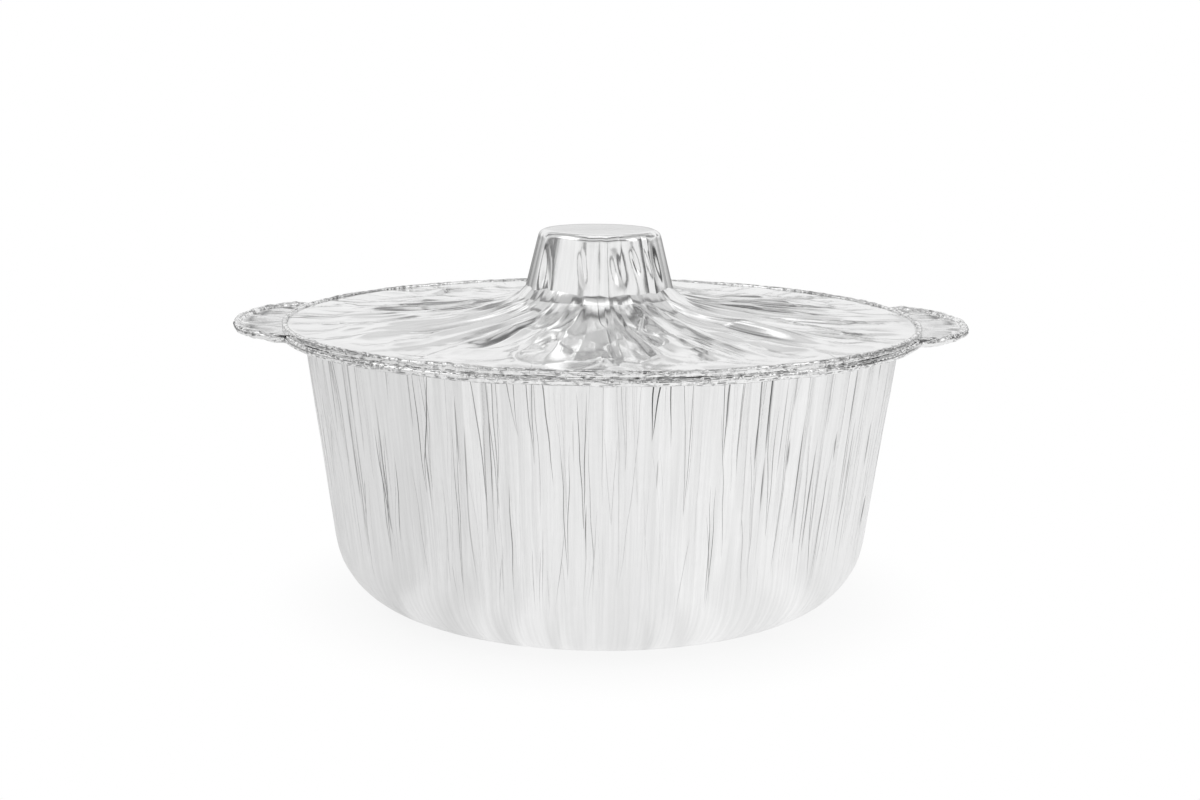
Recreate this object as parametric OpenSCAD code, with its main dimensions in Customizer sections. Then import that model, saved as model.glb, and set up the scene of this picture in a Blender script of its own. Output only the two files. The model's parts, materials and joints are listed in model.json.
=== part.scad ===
// Round foil pot with two ears, and the foil lid that rests on its rim.
// Each piece is one pressed sheet: the solid is the sheet's middle surface, thickened both ways.
// The origin is on the table under the middle of the base. The ears lie along X.

/* [Foil] */
// Thickness of the pressed foil, without its fine crumple
foil_t = 0.3; // [0.2:0.05:0.5]
// Gap between the lid's rolled edge and the pot's, on which it rests
lid_gap = 0.2; // [0.05:0.05:0.4]

/* [Pot] */
// Radius of the flat that the pot stands on
base_r = 79; // [55:0.1:90]
// Outer rounding from the base up into the wall
corner_r = 31; // [15:0.1:40]
// Radius of the wall's middle surface just under the flange
wall_top_r = 121.3; // [112:0.1:135]
// Height of the flange's top face above the table
pot_h = 113.7; // [80:0.1:150]
// Bend between the wall and the flange
flange_bend = 1.2; // [0.6:0.1:2]
// Flange from the end of that bend to the outside of the rolled edge
flange_w = 9; // [6:0.1:11]
// Thickness of the pot's rolled edge
pot_roll_d = 3.3; // [2.4:0.1:4]

/* [Ears] */
// How far an ear stands out past the round rim
ear_reach = 20; // [12:0.5:30]
// Half of the angle that an ear takes up on the rim
ear_half_angle = 20; // [16:1:32]
// Angle by which each ear sits toward the pot's back
ear_back = 2.4; // [0:0.1:4]
// Fullness of the ear's outline: a higher value gives a slimmer ear
ear_slim = 0.4; // [0.3:0.05:1.8]
// Height of the ribs pressed into the ear's web
ear_rib_h = 0.9; // [0:0.1:1.4]

/* [Pleats] */
// Furthest that a pleat's edge stands off the wall
pleat_h = 1.15; // [0:0.05:1.4]
// Share of the wall's depth, from the top, that the shortest pleats run down
pleat_short = 0.35; // [0.2:0.05:0.6]
// Share of a pleat's width that it may wander sideways on its way down
pleat_wander = 0.7; // [0:0.05:0.8]
// Unevenness of the rolled edges
roll_crumple = 0.12; // [0:0.01:0.2]

/* [Lid] */
// Height from the middle of the lid's rolled edge to the foot of its knob
lid_rise = 11.7; // [8:0.1:25]
// Part of that rise taken by the flare round the knob's foot
flare_h = 5.8; // [4:0.1:12]
// Distance over which the flare dies away
flare_len = 9; // [5:0.1:14]
// Width of the flat border inside the lid's rolled edge
border_w = 18; // [12:0.5:30]
// Radius of the knob at its foot
knob_foot_r = 31; // [24:0.1:38]
// Radius of the knob at its shoulder
knob_top_r = 25.6; // [20:0.1:32]
// Height of the knob from its foot to its top
knob_h = 25.4; // [12:0.1:32]
// Rounding of the knob's shoulder
knob_round = 3.8; // [1.5:0.1:5]
// How far pressing has moved the knob off the pot's middle, toward -X
knob_off = 1.4; // [0:0.1:3]
// How flat the facets round the knob's side are: 0 leaves it round, 1 makes them plane
knob_facet = 0.6; // [0:0.05:1]
// Depth of the wrinkles round the knob's side
wrinkle_h = 0.3; // [0:0.05:0.8]
// Height of the small gathers that run out from the knob
gather_h = 1; // [0:0.05:1.2]
// Height of the lid's rolled edge
lid_roll_h = 2.7; // [2:0.1:4]
// Width of the lid's rolled edge
lid_roll_w = 2.4; // [1.8:0.1:3.4]
// How far the outside of the lid's rolled edge stays within the outside of the pot's
lid_inset = 1; // [0.6:0.1:3]

/* [Hidden] */

// Columns round each piece: all of them over pleats, gathers and ears, fewer over smooth stretches
pot_cols = 150;
lid_cols = 120;
smooth_step = 3;
roll_step = 2;
corner_steps = 4;
roll_steps = 6;
turn = 360;
// Columns from one rib of an ear to the next
rib_cols = 4;

// Heights, as shares of the straight wall, of the rings that carry the pleats
pleat_rings = [0.3, 0.62, 1];
// Length, as a share of the wall, over which a pleat fades out
pleat_fade = 0.3;
// Distances outside the knob's foot of the rings that carry the lid's folds
lid_rings = [7, 20, 44];

// The lid's long folds: angle round the lid, height with creases negative, and how far out each runs
long_folds = [
    [-159, 1.3, 96], [-141, -1.2, 84], [-123, -1.8, 106], [-111, 1.8, 78], [-90, -2, 116],
    [-63, 1.5, 112], [-36, 1.9, 92], [-18, -1.4, 100], [6, 1.2, 88], [42, -1.4, 104],
    [69, 1.5, 90], [102, -1.5, 110], [126, 1.3, 82], [153, -1.2, 98]
];
// Angles of the corners between the knob's facets
knob_corners = [-184, -148, -110, -86, -62, -38, -4, 34, 70, 104, 142, 176];
// Distance past its end over which a long fold dies away
fold_fade = 10;

// Where the foil's turn round a roll's section starts and ends: on the round rim, on the ears, on the lid
rim_turn = [90, -168];
ear_turn = [176, -140];
lid_turn = [190, -106];

half_t = foil_t / 2;
pot_roll_a = pot_roll_d / 2 - half_t;
flange_z = pot_h - half_t;
flange_start_r = wall_top_r + flange_bend;
rim_r = flange_start_r + flange_w;
wall_top_z = flange_z - flange_bend;

// The straight wall runs at a tangent from the corner's rounding to the flange's bend
corner_a = corner_r - half_t;
to_top = [wall_top_r - base_r, wall_top_z - corner_r];
wall_tilt = atan2(to_top.y, to_top.x) - acos(corner_a / norm(to_top));
wall_foot = [base_r + corner_a * cos(wall_tilt), corner_r + corner_a * sin(wall_tilt)];

// The lid's rolled edge stands on the pot's
lid_roll_r = rim_r - lid_inset - lid_roll_w / 2;
lid_roll_z = pot_h + lid_gap + lid_roll_h / 2;
// The ears' webs stay flat as far out as this, clear of the lid's edge
web_flat_r = lid_roll_r + lid_roll_w / 2 + 1;
lid_edge_r = lid_roll_r - lid_roll_w / 2 + half_t;
border_r = lid_edge_r - border_w;
knob_foot_z = lid_roll_z + lid_rise;
knob_top_z = knob_foot_z + knob_h - half_t;

// One draw of unevenness for each column
pleat_size = rands(-0.2, 1, pot_cols, 11);
pleat_depth = rands(0, 1, pot_cols, 23);
pleat_place = rands(-0.28, 0.28, pot_cols, 31);
pleat_lean = rands(-0.5, 0.5, pot_cols, 37);
rim_uneven = rands(-1, 1, pot_cols, 41);
rib_size = rands(0.7, 1, pot_cols, 53);
gather_size = rands(0.15, 1, lid_cols, 61);
gather_reach = rands(0.35, 1, lid_cols, 73);
gather_lean = rands(-0.3, 0.3, lid_cols, 83);
wrinkle_size = rands(-1, 1, lid_cols, 97);
lid_uneven = rands(-1, 1, lid_cols, 101);

function unit(v) = v / norm(v);
function side(u) = [u.y, -u.x];
function odd_even(i) = i % 2 == 0 ? 1 : -1;
function clamp01(x) = max(0, min(1, x));
function soft(x) = let (c = clamp01(x)) c * c * (3 - 2 * c);
function mix(a, b, s) = a + (b - a) * s;
function polar(a, r, z) = [r * cos(a), r * sin(a), z];

// Offset at a bend of the section, long enough to keep the sheet's thickness on both sides of it
function mitre(before, here, after) =
    let (s = side(unit(here - before)) + side(unit(after - here)))
    s * 2 / (s * s);

// Both faces of the sheet at a point: the middle, moved by half the thickness along the offset
function faces_at(middle, out, off) =
    let (shift = half_t * [out.x * off.x, out.y * off.x, off.y])
    [middle + shift, middle - shift];

// A section point in the plane at angle a, with its offset
function at_angle(a, path, k) =
    faces_at(polar(a, path[k].x, path[k].y), [cos(a), sin(a)],
        mitre(k == 0 ? [0, path[0].y] : path[k - 1], path[k], path[k + 1]));

// A point of a roll's section: centre c, outward direction out, and the section's half sizes
function on_roll(c, out, size, angle) =
    faces_at(c + [out.x * size.x * cos(angle), out.y * size.x * cos(angle), size.y * sin(angle)],
        out, -[cos(angle), sin(angle)]);

// The pot's outline in plan
function from_ear(a) =
    let (b = (a + turn) % turn)
    min(abs(b - ear_back), abs(b - turn / 2 + ear_back), turn + ear_back - b);
function ear_share(a) =
    from_ear(a) >= ear_half_angle ? 0 : pow(cos(90 * from_ear(a) / ear_half_angle), ear_slim);
function rim_at(a) = rim_r + ear_reach * ear_share(a);
function rim_out(a) =
    let (d = 0.5, p = polar(a - d, rim_at(a - d), 0), q = polar(a + d, rim_at(a + d), 0))
    side(unit([q.x - p.x, q.y - p.y]));

// How strongly column i is pleated at a share of the wall's height
function pleat_at(i, share) =
    let (end = 1 - mix(1, pleat_short, pleat_depth[i]))
    odd_even(i) * pleat_size[i] * soft((share - end) / pleat_fade);

// How much of an ear's form the edge has at angle a, the turn of its roll there, and the roll's centre
function eared(a) = clamp01(2 * ear_share(a));
function pot_turn(a) = mix(rim_turn, ear_turn, eared(a));
function pot_roll_centre(a) =
    polar(a, rim_at(a), flange_z - pot_roll_a * sin(pot_turn(a)[0]))
    - pot_roll_d / 2 * [rim_out(a).x, rim_out(a).y, 0];

// The pot's section at column i, from the base to where the roll starts
function pot_path(i) =
    let (
        a = i * turn / pot_cols,
        start = norm([for (c = [0, 1]) pot_roll_centre(a)[c]]) + pot_roll_a * cos(pot_turn(a)[0]),
        web_r = mix(mix(flange_start_r, start, 0.4), min(web_flat_r, start - 1), eared(a)),
        rib = ear_rib_h * rib_size[i] * cos(from_ear(a) * pot_cols / rib_cols) * eared(a)
    )
    concat(
        [for (k = [0 : corner_steps])
            let (t = mix(-90, wall_tilt, k / corner_steps))
            [base_r + corner_a * cos(t), corner_r + corner_a * sin(t)]],
        [for (s = pleat_rings)
            mix(wall_foot, [wall_top_r, wall_top_z], s)
            + pleat_h * pleat_at(i, s) * [cos(wall_tilt), sin(wall_tilt)]],
        [[flange_start_r, flange_z], [web_r, flange_z]],
        [[mix(web_r, start, 0.5), flange_z + rib], [start, flange_z]]
    );

first_pleat = corner_steps + 1;
last_pleat = corner_steps + len(pleat_rings);
roll_start = last_pleat + 4;

// The columns that ring k of the pot uses
function pot_columns(k) =
    k < first_pleat ? [for (i = [0 : smooth_step : pot_cols - 1]) i]
    : k < roll_start ? [for (i = [0 : pot_cols - 1]) i]
    : [for (i = [0 : pot_cols - 1])
        if (i % roll_step == 0 || from_ear(i * turn / pot_cols) < ear_half_angle + turn / pot_cols) i];

// Angle of column i on ring k: pleats are unevenly spaced, and lean more the further down they are
function pot_angle(i, k) =
    let (
        pleated = k >= first_pleat && k <= last_pleat,
        down = pleated ? 1 - pleat_rings[k - first_pleat] : 0
    )
    (i + (pleated ? pleat_place[i] : 0) + pleat_wander * pleat_lean[i] * down) * turn / pot_cols;

function pot_ring(k) = [for (i = pot_columns(k))
    k < roll_start
        ? at_angle(pot_angle(i, k), pot_path(i), k)
        : let (
            a = i * turn / pot_cols,
            size = (pot_roll_a + (k > roll_start ? roll_crumple * rim_uneven[i] : 0)) * [1, 1],
            t = mix(pot_turn(a)[0], pot_turn(a)[1], (k - roll_start) / roll_steps)
        )
        on_roll(pot_roll_centre(a), rim_out(a), size, t)];

// Height of the lid's middle surface, without folds, at radius r
function lid_height(r) =
    let (
        slope = clamp01((border_r - r) / (border_r - knob_foot_r)),
        flare = flare_h * exp(-max(0, r - knob_foot_r) / flare_len)
    )
    lid_roll_z + (lid_rise - flare_h) * slope + flare;

// How much of the knob's shift the lid has at radius r
function knob_share(r) = clamp01((border_r - r) / (border_r - knob_foot_r));

// Sum of the long folds that lie on column i, at radius r
function fold_sum(i, r, m = 0) = m == len(long_folds) ? 0 :
    let (
        f = long_folds[m],
        column = round(((f[0] + turn) % turn) * lid_cols / turn) % lid_cols,
        reach = clamp01((f[2] - r) / fold_fade + 0.5)
    )
    (column == i ? f[1] * reach : 0) + fold_sum(i, r, m + 1);

// Gathers start at the knob, and each runs out to its own length
function gather_at(i, r) =
    let (end = mix(knob_foot_r, border_r, gather_reach[i]))
    odd_even(i) * gather_size[i] * clamp01((end - r) / fold_fade + 0.5);

// How far a facet of the knob lies inside the knob's round, at angle a
function facet_at(a, m = 0) =
    a >= knob_corners[m + 1] && m + 2 < len(knob_corners) ? facet_at(a, m + 1) :
    let (half = (knob_corners[m + 1] - knob_corners[m]) / 2, middle = knob_corners[m] + half)
    knob_facet * knob_foot_r * (cos(half) / cos(a - middle) - 1);

// The lid's section at column i, from the knob's top to where its roll starts
function lid_path(i) =
    let (
        a = i * turn / lid_cols,
        wrinkle = wrinkle_h * wrinkle_size[i] + facet_at(a < knob_corners[0] + turn ? a : a - turn),
        side_top = knob_top_z - knob_round,
        start = lid_roll_w / 2 - half_t
    )
    concat(
        [[knob_top_r - knob_round, knob_top_z]],
        [[knob_top_r - knob_round / 4 + wrinkle, knob_top_z - knob_round / 3]],
        [[mix(knob_top_r, knob_foot_r, 0.35) + wrinkle, mix(side_top, knob_foot_z, 0.35)]],
        [[knob_foot_r + wrinkle, knob_foot_z]],
        [for (out = lid_rings)
            let (r = knob_foot_r + out)
            [r, lid_height(r) + gather_h * gather_at(i, r) + fold_sum(i, r)]],
        [[border_r, lid_roll_z]],
        [[lid_roll_r + start * cos(lid_turn[0]), lid_roll_z + start * sin(lid_turn[0])]]
    );

first_gather = 4;
last_gather = first_gather + len(lid_rings);
lid_roll_start = last_gather + 1;

// The columns that ring k of the lid uses
function lid_columns(k) =
    let (step = k < first_gather || k >= lid_roll_start ? roll_step : 1)
    [for (i = [0 : step : lid_cols - 1]) i];
function lid_angle(i, k) =
    (i + (k > first_gather && k < last_gather ? gather_lean[i] : 0)) * turn / lid_cols;
function lid_ring(k) = [for (i = lid_columns(k))
    let (a = i * turn / lid_cols, path = lid_path(i))
    k < lid_roll_start
        ? [for (p = at_angle(lid_angle(i, k), path, k)) p - [knob_off * knob_share(path[k].x), 0, 0]]
        : let (
            size = [lid_roll_w / 2 - half_t + roll_crumple * lid_uneven[i], lid_roll_h / 2 - half_t],
            t = mix(lid_turn[0], lid_turn[1], (k - lid_roll_start) / roll_steps)
        )
        on_roll(polar(a, lid_roll_r, lid_roll_z), [cos(a), sin(a)], size, t)];

// Triangles between two rings of points, the first numbered from p and the second from q, which use
// the columns pc and qc. Where one ring has every column, the other's points each take a fan of them.
function band(p, pc, q, qc) =
    let (np = len(pc), nq = len(qc), n = min(np, nq), coarse = np < nq ? pc : qc, all = max(np, nq))
    [for (j = [0 : n - 1])
        let (
            from = np == nq ? j : coarse[j],
            to = np == nq ? j + 1 : j + 1 < n ? coarse[j + 1] : all,
            middle = from + floor((to - from) / 2),
            next = (j + 1) % n
        )
        each np >= nq
            ? concat(
                [for (s = [from : 1 : middle - 1]) [p + s, q + j, p + s + 1]],
                [[p + middle, q + j, q + next]],
                [for (s = [middle : 1 : to - 1]) [p + s, q + next, p + (s + 1) % all]])
            : concat(
                [for (s = [from : 1 : middle - 1]) [p + j, q + s, q + s + 1]],
                [[p + j, q + middle, p + next]],
                [for (s = [middle : 1 : to - 1]) [p + next, q + s, q + (s + 1) % all]])];

// A closed sheet from rings that hold the points of its two faces in pairs. Both faces have the same
// pattern of triangles, so that they never pass through each other.
module sheet(rings, columns) {
    starts = [for (k = 0, at = 0; k < len(rings); at = at + len(rings[k]), k = k + 1) at];
    last = len(rings) - 1;
    back = starts[last] + len(rings[last]);
    face = [for (k = [0 : last - 1]) each band(starts[k], columns[k], starts[k + 1], columns[k + 1])];
    polyhedron(
        points = [for (f = [0, 1]) for (ring = rings) for (p = ring) p[f]],
        faces = concat(
            [[for (j = [0 : len(rings[0]) - 1]) j]],
            face,
            band(starts[last], columns[last], back + starts[last], columns[last]),
            [for (t = face) [for (v = [2, 1, 0]) back + t[v]]],
            [[for (j = [len(rings[0]) - 1 : -1 : 0]) back + j]]
        ),
        convexity = 12
    );
}

module pot() {
    color([0.80, 0.81, 0.82])
        sheet(
            [for (k = [0 : roll_start + roll_steps]) pot_ring(k)],
            [for (k = [0 : roll_start + roll_steps]) pot_columns(k)]
        );
}

module lid() {
    color([0.84, 0.85, 0.86])
        sheet(
            [for (k = [0 : lid_roll_start + roll_steps]) lid_ring(k)],
            [for (k = [0 : lid_roll_start + roll_steps]) lid_columns(k)]
        );
}

pot();
lid();
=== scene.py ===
"""Round foil pot with two ears and a foil lid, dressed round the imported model.

Sizes are in millimetres until a mesh is made, and heights are above the table.
"""

from __future__ import annotations

import json
import logging
import math
from copy import copy
from dataclasses import dataclass, field
from enum import Enum
from typing import Any, Iterable

import bpy
import numpy as np
from mathutils import Matrix, Vector

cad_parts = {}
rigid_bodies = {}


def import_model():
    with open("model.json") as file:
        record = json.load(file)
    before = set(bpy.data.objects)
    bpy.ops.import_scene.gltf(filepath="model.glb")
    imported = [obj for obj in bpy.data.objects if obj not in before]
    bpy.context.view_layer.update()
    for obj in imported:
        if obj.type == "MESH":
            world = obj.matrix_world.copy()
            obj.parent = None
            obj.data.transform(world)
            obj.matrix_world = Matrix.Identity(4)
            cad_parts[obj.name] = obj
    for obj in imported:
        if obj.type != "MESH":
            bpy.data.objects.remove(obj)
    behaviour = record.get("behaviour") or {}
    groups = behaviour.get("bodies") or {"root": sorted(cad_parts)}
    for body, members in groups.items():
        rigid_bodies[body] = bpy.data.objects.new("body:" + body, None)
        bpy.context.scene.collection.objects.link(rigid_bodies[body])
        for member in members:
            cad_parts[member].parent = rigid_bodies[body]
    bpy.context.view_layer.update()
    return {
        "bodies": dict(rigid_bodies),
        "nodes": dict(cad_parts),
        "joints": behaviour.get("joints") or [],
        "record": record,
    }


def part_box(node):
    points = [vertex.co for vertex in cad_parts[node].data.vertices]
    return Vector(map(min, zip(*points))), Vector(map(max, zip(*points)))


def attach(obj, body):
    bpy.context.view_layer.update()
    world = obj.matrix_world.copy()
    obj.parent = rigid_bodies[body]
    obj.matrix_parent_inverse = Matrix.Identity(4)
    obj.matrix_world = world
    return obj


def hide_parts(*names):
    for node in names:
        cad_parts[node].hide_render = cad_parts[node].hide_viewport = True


LOG = logging.getLogger("foil_pot")
MM = 0.001
TURN = 360.0
BODY = "root"
# Corners of a packed ring: degrees within which two are one, and steps a degree is sorted into.
SAME_ANGLE = 0.012
STEPS_PER_DEGREE = 200
# Broken strokes of painted shade along a rolled edge: waves summed, how sharply they begin,
# and the darkest.
DASH_WAVES = 40
DASH_EDGE = 2.2
DASH_SHADE_DARKEST = 0.9
NOISE_ROUGHNESS = 0.6
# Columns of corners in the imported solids' rings: the wall's pleats and the lid's gathers.
POT_PLEATS = 150
LID_GATHERS = 120


class Side(Enum):
    """Which way a sheet's front face looks, seen along its rows from the middle outwards."""

    DOWN_AND_OUT = "down_and_out"
    UP_AND_OUT = "up_and_out"


class Pick(Enum):
    """Which of the two faces of a packed sheet a reading is taken from."""

    WIDEST = "widest"
    HIGHEST = "highest"


def linear_colour(hex_colour: str) -> tuple[float, float, float, float]:
    """Turns an sRGB hex colour into linear RGBA.

    Args:
        hex_colour: The colour as "#RRGGBB".

    Returns:
        Linear red, green and blue with full opacity.
    """
    channels = [int(hex_colour[i : i + 2], 16) / 255 for i in (1, 3, 5)]
    linear = [c / 12.92 if c <= 0.04045 else ((c + 0.055) / 1.055) ** 2.4 for c in channels]
    return (linear[0], linear[1], linear[2], 1.0)


def add_node(
    tree: bpy.types.NodeTree,
    kind: str,
    settings: dict[str, Any] | None = None,
    inputs: dict[str | int, Any] | None = None,
) -> bpy.types.Node:
    """Adds a node to a shader or geometry tree.

    Args:
        tree: The tree that takes the node.
        kind: The node's type name.
        settings: Values for the node's own properties.
        inputs: A value for each named or numbered input, or the socket to link to it.

    Returns:
        The new node.
    """
    made = tree.nodes.new(kind)
    for name, value in (settings or {}).items():
        setattr(made, name, value)
    for key, value in (inputs or {}).items():
        if isinstance(value, bpy.types.NodeSocket):
            tree.links.new(value, made.inputs[key])
        else:
            made.inputs[key].default_value = value
    return made


def ease(x: np.ndarray) -> np.ndarray:
    """Smooth step from 0 at 0 to 1 at 1."""
    c = np.clip(x, 0.0, 1.0)
    return c * c * (3.0 - 2.0 * c)


def half_turn(degrees: np.ndarray) -> np.ndarray:
    """Brings angles into the half turn on either side of 0."""
    return (degrees + 180) % TURN - 180


def through(knots: Iterable[float], values: np.ndarray, at: np.ndarray) -> np.ndarray:
    """Runs a smooth curve through values at knots.

    Args:
        knots: Rising places of the values.
        values: One row for each knot.
        at: Places to read.

    Returns:
        One row for each place.
    """
    x = np.asarray(list(knots), float)
    slopes = np.gradient(values, x, axis=0)
    k = np.clip(np.searchsorted(x, at, side="right") - 1, 0, len(x) - 2)
    span = (x[k + 1] - x[k])[:, None]
    t = np.clip((at[:, None] - x[k][:, None]) / span, 0.0, 1.0)
    a, b, sa, sb = values[k], values[k + 1], slopes[k] * span, slopes[k + 1] * span
    return (
        (2 * t**3 - 3 * t**2 + 1) * a
        + (t**3 - 2 * t**2 + t) * sa
        + (3 * t**2 - 2 * t**3) * b
        + (t**3 - t**2) * sb
    )


def ripple(rng: np.random.Generator, count: int, length: float, waves: int = 7) -> np.ndarray:
    """A smooth uneven run round a closed ring, about -1 to 1.

    Args:
        rng: The seeded source of unevenness.
        count: How many stations the ring has.
        length: How many stations one wave takes at the shortest.
        waves: How many waves are summed.

    Returns:
        One value for each station.
    """
    turn = np.arange(count) / count * 2 * math.pi
    most = max(2, int(count / length))
    total = np.zeros(count)
    for _ in range(waves):
        height, pitch = rng.normal(), rng.integers(1, most + 1)
        total += height * np.sin(pitch * turn + rng.uniform(0, 2 * math.pi))
    return total / math.sqrt(waves)


def shade_dashes(rng: np.random.Generator, count: int, length: float, share: float) -> np.ndarray:
    """Broken strokes of painted shade along a ring, 0 where there is none.

    Args:
        rng: The seeded source of unevenness.
        count: How many stations the ring has.
        length: How many stations the shortest stroke takes.
        share: About how much of the ring the strokes cover, 0 to 1.

    Returns:
        The strength of the stroke at each station, 0 to 0.9.
    """
    run = ripple(rng, count, 2 * length, DASH_WAVES)
    return np.clip((run - np.quantile(run, 1 - share)) * DASH_EDGE, 0.0, DASH_SHADE_DARKEST)


@dataclass
class SolidRings:
    """Finds the rings of corners of a packed sheet, so that its dressed piece keeps every pleat."""

    node: bpy.types.Object
    columns: int

    def __post_init__(self) -> None:
        """Reads the solid's corners as angle, radius and height."""
        count = len(self.node.data.vertices)
        flat = np.zeros(count * 3, np.float32)
        self.node.data.vertices.foreach_get("co", flat)
        x, y, z = (flat.reshape(-1, 3).astype(float) / MM).T
        self.angle = np.degrees(np.arctan2(y, x)) % TURN
        self.radius = np.hypot(x, y)
        self.height = z

    def shifted(self, off: float) -> SolidRings:
        """The same corners, measured round an axis that stands off the origin toward -X.

        Args:
            off: How far the axis stands toward -X, in millimetres.

        Returns:
            The corners with their angles and radii from that axis.
        """
        moved = copy(self)
        a = np.radians(self.angle)
        x, y = self.radius * np.cos(a) + off, self.radius * np.sin(a)
        moved.angle = np.degrees(np.arctan2(y, x)) % TURN
        moved.radius = np.hypot(x, y)
        return moved

    def ring(self, near: np.ndarray, pick: Pick) -> np.ndarray:
        """Reads one ring.

        Args:
            near: Which corners may belong to the ring.
            pick: Which of the sheet's two faces is wanted.

        Returns:
            Angle, radius and height of each column's corner, column 0 first.
        """
        measure = self.radius if pick is Pick.WIDEST else self.height
        found: dict[int, tuple[float, float, float, float]] = {}
        for i in np.flatnonzero(near):
            key = int(round(self.angle[i] * STEPS_PER_DEGREE)) % int(TURN * STEPS_PER_DEGREE)
            corner = (measure[i], self.angle[i], self.radius[i], self.height[i])
            if key not in found or corner > found[key]:
                found[key] = corner
        corners = sorted(v[1:] for v in found.values())
        chosen = 1 if pick is Pick.WIDEST else 2
        merged = [corners[0]]
        for corner in corners[1:]:
            if corner[0] - merged[-1][0] > SAME_ANGLE:
                merged.append(corner)
            elif corner[chosen] > merged[-1][chosen]:
                merged[-1] = corner
        ring = np.array(merged)
        pitch = TURN / len(ring)
        place = np.arange(len(ring)) * pitch
        off = [np.abs(half_turn(np.roll(ring[:, 0], s) - place)).mean() for s in (-1, 0, 1)]
        ring = np.roll(ring, int(np.argmin(off)) - 1, axis=0)
        ring[:, 0] = place + (ring[:, 0] - place + 180) % TURN - 180
        return ring


class Step(Enum):
    """A step of a node tree: the node's type, its settings and the output that is read."""

    ADD = ("ShaderNodeMath", {"operation": "ADD"}, 0)
    SUBTRACT = ("ShaderNodeMath", {"operation": "SUBTRACT"}, 0)
    MULTIPLY = ("ShaderNodeMath", {"operation": "MULTIPLY"}, 0)
    MULTIPLY_ADD = ("ShaderNodeMath", {"operation": "MULTIPLY_ADD"}, 0)
    DIVIDE = ("ShaderNodeMath", {"operation": "DIVIDE"}, 0)
    POWER = ("ShaderNodeMath", {"operation": "POWER"}, 0)
    ABSOLUTE = ("ShaderNodeMath", {"operation": "ABSOLUTE"}, 0)
    SIGN = ("ShaderNodeMath", {"operation": "SIGN"}, 0)
    FLOOR = ("ShaderNodeMath", {"operation": "FLOOR"}, 0)
    FRACT = ("ShaderNodeMath", {"operation": "FRACT"}, 0)
    MINIMUM = ("ShaderNodeMath", {"operation": "MINIMUM"}, 0)
    MAXIMUM = ("ShaderNodeMath", {"operation": "MAXIMUM"}, 0)
    GREATER_THAN = ("ShaderNodeMath", {"operation": "GREATER_THAN"}, 0)
    WRAP = ("ShaderNodeMath", {"operation": "WRAP"}, 0)
    ARCTAN2 = ("ShaderNodeMath", {"operation": "ARCTAN2"}, 0)
    ARCSINE = ("ShaderNodeMath", {"operation": "ARCSINE"}, 0)
    NORMALIZE = ("ShaderNodeVectorMath", {"operation": "NORMALIZE"}, "Vector")
    ADD_VECTORS = ("ShaderNodeVectorMath", {"operation": "ADD"}, "Vector")
    MULTIPLY_VECTORS = ("ShaderNodeVectorMath", {"operation": "MULTIPLY"}, "Vector")
    LENGTH = ("ShaderNodeVectorMath", {"operation": "LENGTH"}, "Value")
    DOT_PRODUCT = ("ShaderNodeVectorMath", {"operation": "DOT_PRODUCT"}, "Value")
    JOIN = ("ShaderNodeCombineXYZ", {}, 0)
    RAMP = ("ShaderNodeMapRange", {"interpolation_type": "LINEAR"}, "Result")
    SOFT_RAMP = ("ShaderNodeMapRange", {"interpolation_type": "SMOOTHSTEP"}, "Result")
    NOISE = ("ShaderNodeTexNoise", {"noise_dimensions": "3D"}, "Fac")
    BLEND = ("ShaderNodeMixShader", {}, 0)


@dataclass(frozen=True)
class Steps:
    """Adds steps to one shader or geometry tree."""

    tree: bpy.types.NodeTree

    def __call__(self, step: Step, *values: Any) -> bpy.types.NodeSocket:
        """Adds a step.

        Args:
            step: What the step does.
            values: A number, vector or socket for each of its inputs, in order.

        Returns:
            The socket that gives the step's result.
        """
        kind, settings, output = step.value
        return add_node(self.tree, kind, settings, dict(enumerate(values))).outputs[output]


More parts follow.
